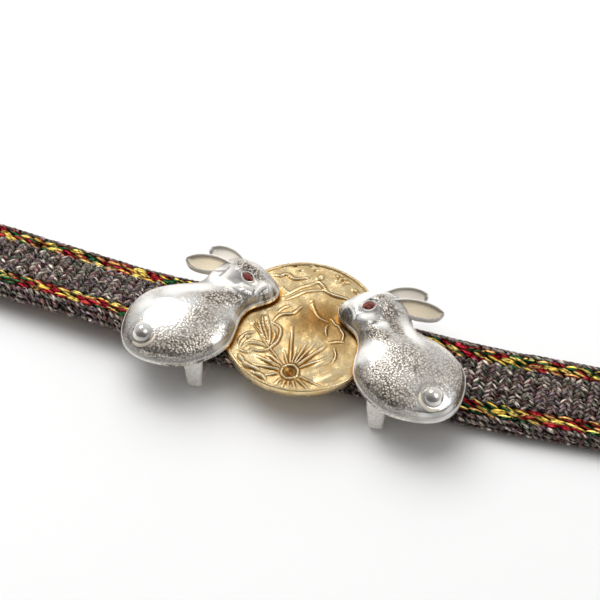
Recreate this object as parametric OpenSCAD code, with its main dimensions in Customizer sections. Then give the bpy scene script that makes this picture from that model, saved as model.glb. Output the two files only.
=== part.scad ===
// Obidome: two silver rabbits over a gold moon disc, threaded on a flat braided sash cord.
// X runs along the cord, Y towards the ears, Z out of the front. Z = 0 is the surface that the
// two back loops lie on, X = 0 the moon's axis and Y = 0 the moon's centre.

/* [Rabbits] */
// Height of the shells' lower edge above the surface
shell_z = 5.1; // [5:0.1:5.8]
// Height of the upright cast edge round each shell
edge_h = 0.6; // [0.4:0.1:0.8]
// Thickness of the cast wall over the hollow back
wall = 0.8; // [0.6:0.1:1]
// Swell of the domed bodies and heads, 1 as made
swell = 1; // [0.8:0.05:1.2]
// Turn of each rabbit as it was set by hand, in degrees
set_turn = 1.5; // [-2:0.5:3]
// Radius of the tail ball
tail_r = 1.12; // [0.9:0.02:1.2]
// Thickness of the ears
ear_t = 0.8; // [0.6:0.1:1]
// Depth of the hollow in the ears
ear_dip = 0.35; // [0.2:0.05:0.45]

/* [Eyes] */
// Length of the marquise stone
stone_l = 1.5; // [1.2:0.1:1.7]
// Width of the marquise stone
stone_w = 0.85; // [0.7:0.05:1]
// Height of the stone above its girdle
crown_h = 0.24; // [0.15:0.01:0.3]
// Depth of the stone below its girdle
pavilion_h = 0.35; // [0.2:0.05:0.45]
// Gap between the stone and its seat
stone_gap = 0.04; // [0.03:0.01:0.06]

/* [Moon disc] */
// Radius of the disc
disc_r = 9.05; // [8.5:0.05:9.5]
// Thickness of the disc under its relief
disc_t = 0.95; // [0.8:0.05:1]
// Height of the disc's underside above the surface
disc_z = 3.7; // [3.6:0.05:3.9]
// Height of the relief, 1 as made
relief = 1; // [0.6:0.1:1.1]
// Width of the raised rim
rim_w = 0.5; // [0.4:0.05:0.7]
// Height of the raised rim
rim_h = 0.26; // [0.15:0.01:0.3]

/* [Back loops] */
// Width of the loop's strap
strap_w = 2.25; // [1.6:0.05:2.4]
// Thickness of the loop's strap
strap_t = 0.8; // [0.6:0.1:0.8]
// Outside radius of the loop's lower corners
strap_bend = 1; // [0.9:0.1:1.5]

/* [Sash cord] */
// Width of the flat braid
cord_w = 10.2; // [9:0.1:10.4]
// Thickness of the flat braid
cord_t = 2.5; // [2.2:0.1:2.6]

/* [Hidden] */

// Places in the right rabbit's own frame, before its turn
pivot = [12.5, -2];
loop_x = 10.5;
loop_y = [-8.6, 5.4];
loop_seat = 0.15;
leg_lap = 0.8;
leg_skin = 0.04;
strap_bevel = 0.2;
foot_share = 0.78;
peg_r = 0.75;
peg_gap = 0.03;
peg_flare = 0.15;
land_margin = 0.4;
pegs = [[7.4, 0.8], [6.3, 3.9]];
tail_at = [16.42, -7.25];
tail_sink = 0.02;
collar_r = 0.28;
collar_out = 0.2;
collar_rise = -0.25;
collar_foot = 0.8;
collar_turn = [9, 14, 0];
eye_at = [7.1, 2.8];
eye_turn = [20, -9, 21];
eye_rise = 0.04;
ear_root = 0.5;
root_lift = 0.3;
bezel_w = 0.2;
bezel_h = 0.12;
bezel_foot = 0.6;
cavity_inset = 0.95;
cavity_t = [1.7, 9.6];
disc_top = disc_z + disc_t;

// Mesh steps
shell_rows = 44;
shell_cols = 22;
cavity_rows = 14;
cavity_cols = 12;
disc_rays = 96;
disc_rings = 22;
ring_spread = 1.2;

// Sections of a rabbit across Y, from the lower edge of the body to the crown of the head:
// y, edge towards the moon, edge towards the rump, rise of the dome, lean of its crest outwards
SECTIONS = [
  [-9.65, 13.6, 14.9, 0.15, 0.00],
  [-9.45, 12.1, 16.2, 0.60, 0.00],
  [-8.95, 10.8, 17.5, 1.05, 0.00],
  [-8.05, 9.35, 18.55, 1.45, 0.00],
  [-6.70, 7.95, 19.25, 1.80, 0.00],
  [-5.10, 7.10, 19.5, 2.02, 0.00],
  [-3.40, 6.90, 19.4, 2.12, 0.00],
  [-2.00, 6.90, 18.9, 2.08, 0.00],
  [-0.80, 6.65, 17.95, 1.88, 0.00],
  [0.15, 6.10, 16.7, 1.60, -0.05],
  [0.95, 5.05, 15.1, 1.38, -0.12],
  [1.60, 4.15, 13.5, 1.25, -0.08],
  [2.25, 3.68, 12.5, 1.28, 0.12],
  [3.00, 3.50, 12.1, 1.40, 0.25],
  [3.80, 3.75, 11.8, 1.48, 0.26],
  [4.65, 4.55, 11.3, 1.42, 0.22],
  [5.40, 5.45, 10.6, 1.18, 0.16],
  [5.95, 6.30, 9.80, 0.80, 0.08],
  [6.20, 7.20, 8.80, 0.30, 0.00]
];

// Soft swellings on a dome, and the fall behind the head where the ears stand:
// x, y, half length, half width, turn in degrees, height
BUMPS = [
  [8.20, 3.90, 3.10, 2.30, 20, 0.55],
  [7.20, 3.10, 1.50, 1.10, 20, 0.18],
  [4.60, 2.55, 1.25, 1.15, 60, 0.38],
  [6.80, 1.15, 1.60, 1.15, 20, 0.50],
  [10.6, 3.90, 1.90, 2.00, 0, -0.85],
  [8.20, -0.6, 2.40, 2.20, 60, 0.30]
];

// Fine raised lines on the muzzle: x and y of one end, x and y of the other, half width, height
LINES = [
  [5.70, 2.70, 5.55, 2.00, 0.24, 0.16],
  [5.55, 2.00, 5.05, 1.45, 0.24, 0.16],
  [4.30, 3.30, 3.95, 2.85, 0.26, 0.12]
];

// Ears of the right rabbit: root x, y and z, tip x, y and z, half width, tilt in degrees
EARS = [
  [9.10, 3.95, 7.30, 15.80, 5.62, 4.85, 1.30, 12],
  [8.15, 5.25, 6.60, 13.42, 7.96, 4.65, 1.32, 16]
];

// Width of an ear along its length, from root to tip, as a share of its half width
EAR_WIDTHS = [0.42, 0.58, 0.76, 0.90, 0.98, 1.00, 0.97, 0.87, 0.66, 0.25];

// Flower on the moon: its centre, its pierced-looking eye and the knotted ring round it
flower_at = [0.3, -6.45];
flower_ring = 0.92;
flower_ring_w = 0.34;
flower_ring_h = 0.26;
flower_pit = 0.2;
ridge_rise = 0.3;

// Ridges that radiate from the flower: direction in degrees, start, end, half width, height
RIDGES = [
  [103, 1.1, 6.4, 0.22, 0.26],
  [92, 1.1, 3.6, 0.16, 0.16],
  [80, 1.1, 4.6, 0.20, 0.24],
  [70, 1.1, 5.0, 0.20, 0.26],
  [57, 1.1, 5.6, 0.26, 0.34],
  [40, 1.1, 5.0, 0.20, 0.22],
  [118, 1.1, 3.2, 0.18, 0.18],
  [150, 1.1, 3.6, 0.24, 0.24],
  [165, 1.1, 4.6, 0.28, 0.26],
  [181, 1.1, 4.4, 0.24, 0.22],
  [205, 1.2, 3.0, 0.22, 0.22],
  [240, 1.2, 2.6, 0.22, 0.26],
  [262, 1.2, 2.4, 0.18, 0.26],
  [280, 1.2, 2.3, 0.16, 0.24],
  [300, 1.2, 2.5, 0.20, 0.28],
  [326, 1.2, 3.4, 0.20, 0.24],
  [345, 1.2, 4.6, 0.16, 0.16]
];

// Raised lines of the clouds, grasses and small flower: two ends, half width, height
STROKES = [
  [-5.2, 5.75, -4.2, 6.1, 0.24, 0.24],
  [-4.2, 6.1, -3.2, 5.85, 0.24, 0.26],
  [-3.2, 5.85, -1.9, 5.35, 0.22, 0.22],
  [-1.9, 5.35, 0.3, 5.3, 0.18, 0.18],
  [-3.0, 2.7, -1.6, 4.3, 0.20, 0.24],
  [-1.6, 4.3, 0.1, 5.45, 0.18, 0.22],
  [-2.6, 2.4, -0.6, 3.7, 0.18, 0.20],
  [-0.6, 3.7, 1.6, 4.4, 0.16, 0.18],
  [0.4, 5.3, 2.2, 4.7, 0.22, 0.24],
  [2.2, 4.7, 4.1, 4.7, 0.24, 0.26],
  [-3.6, -0.7, -2.3, -1.3, 0.22, 0.26],
  [-2.3, -1.3, -1.75, -2.6, 0.24, 0.30],
  [-1.75, -2.6, -2.9, -4.1, 0.24, 0.30],
  [-5.7, -1.1, -2.95, -4.1, 0.18, 0.24],
  [-2.95, -4.1, -1.0, -5.6, 0.16, 0.20],
  [-4.6, -1.0, -3.1, -3.9, 0.16, 0.18],
  [-3.5, -1.1, -3.0, -3.7, 0.16, 0.18],
  [-3.0, 1.2, -1.2, 1.9, 0.22, 0.22],
  [-1.2, 1.9, 0.6, 2.6, 0.20, 0.20],
  [3.0, 1.2, 3.6, 2.6, 0.20, 0.22]
];

// Rounded lumps of the clouds, buds and seeds: x, y, half length, half width, turn, height
LUMPS = [
  [-6.0, -3.2, 0.95, 0.65, 40, 0.34],
  [-4.9, -4.0, 0.90, 0.45, 15, 0.22],
  [-6.1, -5.0, 0.70, 0.50, 30, 0.26],
  [-5.3, -6.1, 0.80, 0.50, -35, 0.28],
  [-4.3, -7.0, 0.75, 0.45, -30, 0.30],
  [-3.2, -7.7, 0.65, 0.45, -20, 0.26],
  [3.4, 1.3, 1.00, 0.70, 30, 0.26],
  [4.8, -5.8, 2.20, 0.80, 40, 0.12],
  [4.6, 0.2, 0.55, 0.40, 60, 0.20],
  [4.7, 6.3, 0.60, 0.45, 0, 0.28],
  [2.3, 6.9, 0.32, 0.32, 0, 0.24],
  [2.9, 7.1, 0.32, 0.32, 0, 0.24],
  [2.6, 7.6, 0.32, 0.32, 0, 0.24],
  [0.7, 8.2, 0.28, 0.28, 0, 0.20],
  [1.4, 8.1, 0.28, 0.28, 0, 0.20]
];

// Route of the sash cord's centre line, end to end, on the surface and through both loops:
// x, y, z and the roll of the band about its own line in degrees
CORD_ROUTE = [
  [-43, 2.30, 1.70, -6], [-38, 1.80, 1.75, -7.5], [-34, 1.40, 1.85, -9], [-30, 1.05, 1.95, -10.5],
  [-26, 0.65, 2.05, -12], [-22, 0.25, 2.15, -12.5], [-18, -0.15, 2.20, -10], [-14.5, -0.45, 2.20, -5],
  [-10.5, -0.65, 2.15, -1], [-5.5, -0.65, 2.15, 0], [0, -0.65, 2.15, 0], [5.5, -0.65, 2.15, 0],
  [10.5, -0.65, 2.15, 1], [14.5, -0.70, 2.05, 3], [19, -0.70, 1.75, 5], [23, -0.60, 1.60, 5],
  [27, -0.40, 1.60, 4.5], [31, -0.15, 1.55, 4], [35, 0.05, 1.50, 3.5], [39, 0.25, 1.50, 3]
];

// A smooth curve through four neighbouring rows, f of the way from b to c
function between(a, b, c, d, f) =
  0.5 * (2 * b + (c - a) * f + (2 * a - 5 * b + 4 * c - d) * f * f + (3 * b - a - 3 * c + d) * f * f * f);
function row_at(rows, t) =
  let (n = len(rows), i = min(floor(t), n - 2))
  between(rows[max(i - 1, 0)], rows[i], rows[i + 1], rows[min(i + 2, n - 1)], t - i);

// Height of a soft swelling at x, y: one at its centre, nothing from its rim outwards
function lump(x, y, b) =
  let (dx = x - b[0], dy = y - b[1],
       p = (cos(b[4]) * dx + sin(b[4]) * dy) / b[2],
       q = (cos(b[4]) * dy - sin(b[4]) * dx) / b[3],
       r = p * p + q * q)
  r < 1 ? b[5] * (1 - r) * (1 - r) : 0;

// Height of a raised line at x, y, rounded across and at both ends
function stroke(x, y, s) =
  let (ax = s[2] - s[0], ay = s[3] - s[1],
       k = max(0, min(1, ((x - s[0]) * ax + (y - s[1]) * ay) / (ax * ax + ay * ay))),
       dx = x - s[0] - k * ax, dy = y - s[1] - k * ay,
       r = (dx * dx + dy * dy) / (s[4] * s[4]))
  r < 1 ? s[5] * (1 - r) * (1 - r) : 0;
function sum(v) = len(v) == 0 ? 0 : v * [for (e = v) 1];

// Rise of a rabbit's dome over its edge: u runs from -1 at the moon's side to 1 at the rump
function shell_x(s, u) = (s[1] + s[2]) / 2 + u * (s[2] - s[1]) / 2;
function dome_rise(s, u) =
  let (x = shell_x(s, u), y = s[0], flank = pow(max(0, 1 - pow(abs(u), 2.3)), 0.55))
  swell * flank * (s[3] * (1 + s[4] * u)
    + sum([for (b = BUMPS) lump(x, y, b)]) + sum([for (l = LINES) stroke(x, y, l)]));
function across(j, n) = -cos(180 * j / n);

// Section row t that passes through y, found by halving
function t_of_y(y, lo = 0, hi = len(SECTIONS) - 1, n = 18) =
  n == 0 ? (lo + hi) / 2
    : let (m = (lo + hi) / 2)
      row_at(SECTIONS, m)[0] < y ? t_of_y(y, m, hi, n - 1) : t_of_y(y, lo, m, n - 1);
function skin_z(x, y) =
  let (s = row_at(SECTIONS, t_of_y(y)))
  shell_z + edge_h + dome_rise(s, (2 * x - s[1] - s[2]) / (s[2] - s[1]));

// Triangles that join rows of m points each, with the last point joined back to the first,
// and a fan over the first and the last row
function tube_faces(rows, m) = concat(
  [for (i = [0 : rows - 2]) for (j = [0 : m - 1])
    let (a = i * m + j, b = i * m + (j + 1) % m) each [[a, a + m, b], [b, a + m, b + m]]],
  [[for (j = [0 : m - 1]) j]],
  [[for (j = [m - 1 : -1 : 0]) (rows - 1) * m + j]]
);

// Solid dome with an upright edge, before its back is hollowed
module shell() {
  last = len(SECTIONS) - 1;
  rows = [for (i = [0 : shell_rows]) row_at(SECTIONS, last * i / shell_rows)];
  points = [for (s = rows) each concat(
    [[s[1], s[0], shell_z]],
    [for (j = [0 : shell_cols]) let (u = across(j, shell_cols))
      [shell_x(s, u), s[0], shell_z + edge_h + dome_rise(s, u)]],
    [[s[2], s[0], shell_z]]
  )];
  polyhedron(points, tube_faces(shell_rows + 1, shell_cols + 3));
}

// Hollow of the back: the body's own dome, set in by the wall
module cavity() {
  rows = [for (i = [0 : cavity_rows])
    row_at(SECTIONS, cavity_t[0] + (cavity_t[1] - cavity_t[0]) * i / cavity_rows)];
  points = [for (s = rows) each concat(
    [[s[1] + cavity_inset, s[0], shell_z - 1]],
    [for (j = [0 : cavity_cols]) let (u = across(j, cavity_cols), x = shell_x(s, u))
      [x - u * cavity_inset, s[0],
       shell_z + 0.05 + max(0, edge_h + 0.93 * dome_rise(s, u) - wall)]],
    [[s[2] - cavity_inset, s[0], shell_z - 1]]
  )];
  polyhedron(points, tube_faces(cavity_rows + 1, cavity_cols + 3));
}

// Section of an ear at x: half width w, hollow dip deep between two rounded rims
function ear_section(w, dip, x) =
  let (rim = min(0.3, 0.45 * w))
  [for (p = [[w, 0.25], [w - 0.3 * rim, ear_t - 0.08], [w - 0.7 * rim, ear_t], [w - 1.5 * rim, ear_t - dip],
             [0, ear_t - 1.15 * dip], [1.5 * rim - w, ear_t - dip], [0.7 * rim - w, ear_t],
             [0.3 * rim - w, ear_t - 0.08], [-w, 0.25], [-0.55 * w, 0], [0.55 * w, 0]])
    [x, p[0], p[1] - ear_t]];

// One leaf-shaped ear with a raised, rounded rim round its hollow, and its thick root below
module ear(e) {
  root = [e[0], e[1], e[2]];
  tip = [e[3], e[4], e[5]];
  run = tip - root;
  long = norm([run[0], run[1]]);
  n = len(EAR_WIDTHS) - 1;
  steps = 2 * n;
  points = [for (i = [0 : steps]) each ear_section(
    e[6] * row_at([for (k = EAR_WIDTHS) [k, 0]], i / 2)[0],
    ear_dip * min(1, 0.35 * (steps - i)),
    long * i / steps)];
  translate(root) rotate([0, 0, atan2(run[1], run[0])]) rotate([0, atan2(-run[2], long), 0])
    rotate([e[7], 0, 0]) polyhedron(points, tube_faces(steps + 1, 11));
  hull() {
    translate(root - [0, 0, ear_t - root_lift]) sphere(ear_root, $fn = 10);
    translate(root + 0.22 * run - [0, 0, ear_t - 0.5 * root_lift]) sphere(0.6 * ear_root, $fn = 10);
  }
}

// Tail ball seated in a thin collar ring
module tail() {
  z = skin_z(tail_at[0], tail_at[1]) - tail_sink;
  translate([tail_at[0], tail_at[1], z]) {
    sphere(tail_r, $fn = 18);
    rotate(collar_turn) {
      translate([0, 0, collar_rise]) rotate_extrude($fn = 20)
        translate([tail_r + collar_out, 0]) circle(collar_r, $fn = 8);
      hull() {
        translate([0, 0, collar_rise - 0.1]) cylinder(h = 0.1, r = tail_r + collar_out, $fn = 20);
        translate([0, 0, -collar_foot])
          cylinder(h = 0.1, r = tail_r + collar_out + 0.5 * collar_r, $fn = 20);
      }
    }
  }
}

// Section of the strap where it turns by a about y and z, with bevelled edges
function strap_section(y, z, a) =
  let (w = foot_share * strap_w / 2, inner = strap_bend - strap_t, outer = strap_bend, b = strap_bevel)
  [for (q = [[-w, inner + b], [b - w, inner], [w - b, inner], [w, inner + b],
             [w, outer - b], [w - b, outer], [b - w, outer], [-w, outer - b]])
    [loop_x + q[0], y + q[1] * cos(a), z + q[1] * sin(a)]];

// Strap of the back loop: a flat wire bent into a U between two legs, which widen towards
// their ends and are soldered under the shell
module back_loop() {
  near = loop_y[0] + strap_bend;
  far = loop_y[1] - strap_bend;
  bend = strap_bend;
  points = [each strap_section(near, bend + leg_lap, 180),
            for (a = [180 : 18 : 270]) each strap_section(near, bend, a),
            for (a = [270 : 18 : 360]) each strap_section(far, bend, a),
            each strap_section(far, bend + leg_lap, 360)];
  polyhedron(points, tube_faces(len(points) / 8, 8));
  for (y = [loop_y[0] + strap_t / 2, loop_y[1] - strap_t / 2]) hull() {
    strap_end(y, shell_z + loop_seat, strap_w, strap_t);
    strap_end(y, bend + 0.3 * leg_lap, foot_share * strap_w + leg_skin, strap_t + leg_skin);
  }
}
module strap_end(y, z, w, t) {
  translate([loop_x, y, z]) cube([w, t, 0.02], center = true);
}

// Outline of the marquise stone, two arcs that meet in points
function marquise(l, w, n = 6) =
  let (r = (l * l / 4 + w * w / 4) / w, a = asin(l / 2 / r), c = r - w / 2)
  concat([for (k = [0 : n - 1]) let (t = -a + 2 * a * k / n) [r * sin(t), r * cos(t) - c]],
         [for (k = [0 : n - 1]) let (t = a - 2 * a * k / n) [r * sin(t), c - r * cos(t)]]);
module at_eye() {
  translate([eye_at[0], eye_at[1], skin_z(eye_at[0], eye_at[1]) + eye_rise]) rotate(eye_turn) children();
}
module plate(l, w, z, h) {
  translate([0, 0, z]) linear_extrude(h) polygon(marquise(l, w));
}

// Whole rabbit of the right side: shell, ears, tail and loop are one cast and soldered solid
module rabbit() {
  difference() {
    union() {
      difference() {
        shell();
        cavity();
      }
      for (e = EARS) ear(e);
      tail();
      at_eye() hull() {
        plate(stone_l + 2 * bezel_w, stone_w + 2 * bezel_w, -bezel_foot, bezel_foot);
        plate(stone_l + bezel_w, stone_w + bezel_w, 0, bezel_h);
      }
      back_loop();
      for (p = pegs) translate([p[0], p[1], disc_top + peg_gap]) hull() {
        cylinder(h = 0.1, r = peg_r, $fn = 16);
        translate([0, 0, shell_z + 0.2 - disc_top]) cylinder(h = 0.1, r = peg_r + peg_flare, $fn = 16);
      }
    }
    at_eye() plate(stone_l + 2 * stone_gap, stone_w + 2 * stone_gap, -pavilion_h - stone_gap, 2);
  }
}

// Faceted marquise stone: a table, a crown and a pavilion round one girdle
module stone() {
  girdle = 0.05;
  at_eye() hull() {
    plate(0.55 * stone_l, 0.5 * stone_w, crown_h - 0.01, 0.01);
    plate(stone_l, stone_w, 0, girdle);
    plate(0.4 * stone_l, 0.3 * stone_w, -pavilion_h, 0.01);
  }
}

// Puts a part of the right side in its place, and of the left side as its mirror image
module set_right() {
  translate([pivot[0], pivot[1], 0]) rotate([0, 0, set_turn]) translate([-pivot[0], -pivot[1], 0])
    children();
}
module set_left() {
  translate([-pivot[0], pivot[1], 0]) rotate([0, 0, set_turn]) translate([pivot[0], -pivot[1], 0])
    mirror([1, 0, 0]) children();
}

module left_rabbit() {
  color("silver") set_left() rabbit();
}
module right_rabbit() {
  color("silver") set_right() rabbit();
}
module left_eye() {
  color("firebrick") set_left() stone();
}
module right_eye() {
  color("firebrick") set_right() stone();
}

// Share of the relief left at x, y: it dies away where the rabbits' pegs stand
function clear_land(x, y) =
  min([for (p = pegs)
    max(0, min(1, (norm([abs(x) - p[0], y - p[1]]) - peg_r - land_margin) / land_margin))]);

// Height of the flower's ring, pit and ridges at distance d and direction a from its centre
function flower(d, a) =
  flower_ring_h * exp(-pow((d - flower_ring) / (0.5 * flower_ring_w), 2)) * (1 + 0.25 * cos(7 * a))
  - flower_pit * exp(-pow(d / 0.55, 2))
  + sum([for (r = RIDGES)
      let (off = d * sin(a - r[0]), along = d * cos(a - r[0]))
      along < r[1] || along > r[2] || abs(off) > r[3] ? 0
        : r[4] * pow(1 - pow(off / r[3], 2), 2)
          * min(1, (along - r[1]) / ridge_rise) * min(1, (r[2] - along) / (0.5 * r[2]))]);
function disc_relief(p) =
  let (q = p - flower_at, d = norm(q), a = d == 0 ? 0 : atan2(q[1], q[0]))
  relief * clear_land(p[0], p[1]) * (flower(d, a)
    + sum([for (s = STROKES) stroke(p[0], p[1], s)]) + sum([for (b = LUMPS) lump(p[0], p[1], b)]));

// Ring of points on the disc at a share of the way out to its edge, at one height
function edge_ring(edge, share, z) = [for (e = edge) [e[0] * share, e[1] * share, z]];

// Moon disc: its face is a fan of rays from the flower's centre out to the raised rim
module moon_disc() {
  n = disc_rays;
  inside = 1 - rim_w / disc_r;
  crest = 1 - 0.45 * rim_w / disc_r;
  edge = [for (i = [0 : n - 1])
    let (ray = [cos(360 * i / n), sin(360 * i / n)], m = flower_at * ray)
    flower_at + ray * (sqrt(m * m + disc_r * disc_r - flower_at * flower_at) - m)];
  face = [for (k = [1 : disc_rings]) for (e = edge)
    let (p = flower_at + (e * inside - flower_at) * pow(k / disc_rings, ring_spread))
    [p[0], p[1], disc_top + disc_relief(p)]];
  faces = concat(
    [for (i = [0 : n - 1]) [0, 1 + (i + 1) % n, 1 + i]],
    [for (k = [0 : disc_rings + 1]) for (i = [0 : n - 1])
      let (a = 1 + k * n + i, b = 1 + k * n + (i + 1) % n) each [[a, b, a + n], [b, b + n, a + n]]],
    [[for (i = [0 : n - 1]) 1 + (disc_rings + 2) * n + i]]
  );
  color("gold") polyhedron(concat(
    [[flower_at[0], flower_at[1], disc_top - relief * flower_pit]], face,
    edge_ring(edge, crest, disc_top + rim_h), edge_ring(edge, 1, disc_top + 0.4 * rim_h),
    edge_ring(edge, 1, disc_z)), faces);
}

// Flat braid: a pillowy section swept along its route
module sash_cord() {
  half = cord_w / 2;
  thick = cord_t / 2;
  edge = thick * 0.95;
  section = concat(
    [for (a = [-75 : 30 : 75]) [half - edge + edge * cos(a), thick * sin(a)]],
    [for (a = [105 : 30 : 255]) [edge - half + edge * cos(a), thick * sin(a)]]
  );
  n = len(CORD_ROUTE);
  m = len(section);
  points = [for (i = [0 : n - 1])
    let (p = CORD_ROUTE[i], d = CORD_ROUTE[min(i + 1, n - 1)] - CORD_ROUTE[max(i - 1, 0)],
         side = [-d[1], d[0], 0] / norm([d[0], d[1]]))
    each [for (q = section) let (c = cos(p[3]), s = sin(p[3]))
      [p[0], p[1], p[2]] + side * (q[0] * c - q[1] * s) + [0, 0, q[0] * s + q[1] * c]]];
  color("dimgray") polyhedron(points, tube_faces(n, m));
}

left_rabbit();
right_rabbit();
moon_disc();
left_eye();
right_eye();
sash_cord();
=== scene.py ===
"""Looks of the obidome: two silver rabbits over a gold moon disc, on a flat braided sash cord.

Lengths in the tables are millimetres in the part's own frame: X along the cord, Y towards the
ears, Z out of the front, Z = 0 the surface it lies on. Meshes are made in metres.
"""

import logging
import math
from dataclasses import dataclass, field
from enum import Enum
from typing import ClassVar

import bpy
import numpy as np
from mathutils import Matrix, Vector


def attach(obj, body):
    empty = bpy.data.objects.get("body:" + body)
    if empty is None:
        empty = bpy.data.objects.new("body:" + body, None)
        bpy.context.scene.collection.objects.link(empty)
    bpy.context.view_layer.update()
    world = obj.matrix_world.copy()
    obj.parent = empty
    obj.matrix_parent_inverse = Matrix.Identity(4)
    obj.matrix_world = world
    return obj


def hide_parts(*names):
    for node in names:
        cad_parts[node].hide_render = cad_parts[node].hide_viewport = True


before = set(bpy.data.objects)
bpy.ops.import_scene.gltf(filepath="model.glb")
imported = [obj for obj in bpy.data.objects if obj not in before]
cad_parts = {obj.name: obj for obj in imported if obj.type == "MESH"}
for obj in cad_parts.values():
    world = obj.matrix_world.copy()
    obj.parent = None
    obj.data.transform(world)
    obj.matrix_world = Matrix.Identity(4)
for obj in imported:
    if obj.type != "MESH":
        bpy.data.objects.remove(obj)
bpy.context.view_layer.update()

LOG = logging.getLogger("obidome")
MM = 0.001
BODY = "root"

Array = np.ndarray
Socket = bpy.types.NodeSocket


class Side(Enum):
    """Which of the two rabbits a piece belongs to."""

    LEFT = -1
    RIGHT = 1

    @property
    def node(self) -> str:
        """Name of the rabbit's solid."""
        return f"{self.name.lower()}_rabbit"


class Slot(Enum):
    """Material slots of the record."""

    SILVER = "silver"
    GOLD = "gold"
    GARNET = "garnet"
    BRAID = "silk_braid"


# Sections of the right rabbit across Y: y, edge towards the moon, edge towards the rump,
# rise of the dome, lean of its crest outwards
SECTIONS = np.array([
    [-9.65, 13.6, 14.9, 0.15, 0.00],
    [-9.45, 12.1, 16.2, 0.60, 0.00],
    [-8.95, 10.8, 17.5, 1.05, 0.00],
    [-8.05, 9.35, 18.55, 1.45, 0.00],
    [-6.70, 7.95, 19.25, 1.80, 0.00],
    [-5.10, 7.10, 19.5, 2.02, 0.00],
    [-3.40, 6.90, 19.4, 2.12, 0.00],
    [-2.00, 6.90, 18.9, 2.08, 0.00],
    [-0.80, 6.65, 17.95, 1.88, 0.00],
    [0.15, 6.10, 16.7, 1.60, -0.05],
    [0.95, 5.05, 15.1, 1.38, -0.12],
    [1.60, 4.15, 13.5, 1.25, -0.08],
    [2.25, 3.68, 12.5, 1.28, 0.12],
    [3.00, 3.50, 12.1, 1.40, 0.25],
    [3.80, 3.75, 11.8, 1.48, 0.26],
    [4.65, 4.55, 11.3, 1.42, 0.22],
    [5.40, 5.45, 10.6, 1.18, 0.16],
    [5.95, 6.30, 9.80, 0.80, 0.08],
    [6.20, 7.20, 8.80, 0.30, 0.00],
])

# Soft swellings of the dome, and the fall behind the head where the ears stand: x, y, half
# length, half width, turn in degrees, height
BUMPS = np.array([
    [8.20, 3.90, 3.10, 2.30, 20, 0.55],
    [7.20, 3.10, 1.50, 1.10, 20, 0.18],
    [4.60, 2.55, 1.25, 1.15, 60, 0.38],
    [6.80, 1.15, 1.60, 1.15, 20, 0.50],
    [10.6, 3.90, 1.90, 2.00, 0, -0.85],
    [8.20, -0.6, 2.40, 2.20, 60, 0.30],
])

# Raised lines of the mouth and nostril: two ends, half width, height
LINES = np.array([
    [4.95, 2.58, 5.42, 2.20, 0.22, 0.15],
    [5.42, 2.20, 5.74, 1.62, 0.22, 0.18],
    [5.74, 1.62, 5.70, 1.05, 0.22, 0.18],
    [5.70, 1.05, 5.42, 0.68, 0.20, 0.14],
    [4.30, 3.30, 3.95, 2.85, 0.26, 0.12],
    [4.50, 2.85, 4.22, 2.24, 0.20, 0.15],
    [4.22, 2.24, 3.95, 1.85, 0.20, 0.13],
])

# Sunk lines inside and outside the mouth, over the nose, under the jaw and over the eye: two
# ends, half width, height
FOLDS = np.array([
    [4.80, 2.28, 5.18, 1.95, 0.15, -0.12],
    [5.18, 1.95, 5.42, 1.50, 0.15, -0.14],
    [5.42, 1.50, 5.38, 1.02, 0.15, -0.12],
    [6.04, 1.75, 6.02, 1.02, 0.16, -0.12],
    [4.62, 2.55, 4.45, 2.05, 0.14, -0.10],
    [7.70, 0.65, 8.30, 1.25, 0.28, -0.12],
    [6.35, 3.25, 7.05, 3.62, 0.20, -0.10],
    [7.05, 3.62, 7.90, 3.45, 0.20, -0.10],
    [9.70, 3.90, 10.4, 2.90, 0.30, -0.12],
])

# Fine swellings of the face and the shoulder, too small for the solids: x, y, half length, half
# width, turn, height
FACE = np.array([
    [4.55, 2.30, 0.80, 0.75, 0, 0.14],
    [7.20, 4.25, 1.50, 0.80, 25, 0.12],
    [9.20, 1.30, 1.20, 0.80, 40, 0.16],
    [7.90, -3.50, 1.80, 1.60, 60, 0.30],
])

# The next four tables are in the part's frame, with rows for each rabbit: painted shade, painted
# highlights, and the stipple and burnishing of each rabbit, which was finished by hand. Their
# columns are x, y, half length, half width, turn and strength.

# Places darkened smoothly by painted shade
SHADED_PLACES = np.array([
    [4.50, 1.45, 1.10, 0.95, 0, 1.3],
    [5.20, 0.95, 0.80, 0.40, -30, 0.6],
    [8.20, 3.10, 0.80, 0.60, 20, 0.4],
    [7.60, -0.60, 1.40, 1.10, 20, 0.5],
    [9.60, 1.60, 1.50, 0.70, -60, 0.35],
    [15.9, -7.0, 2.00, 1.80, 0, 0.35],
    [15.2, -9.75, 2.20, 0.35, 8, 0.7],
    [-4.60, 0.90, 0.60, 0.90, 0, 0.9],
    [-5.02, 1.72, 0.70, 0.22, -52, 1.2],
    [-4.02, 2.62, 0.60, 0.18, -55, 0.9],
    [-6.50, 0.10, 1.10, 0.60, 0, 0.5],
    [-8.60, 0.30, 1.80, 0.50, -30, 0.4],
    [-16.3, -7.7, 2.10, 1.90, 0, 0.4],
])
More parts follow.
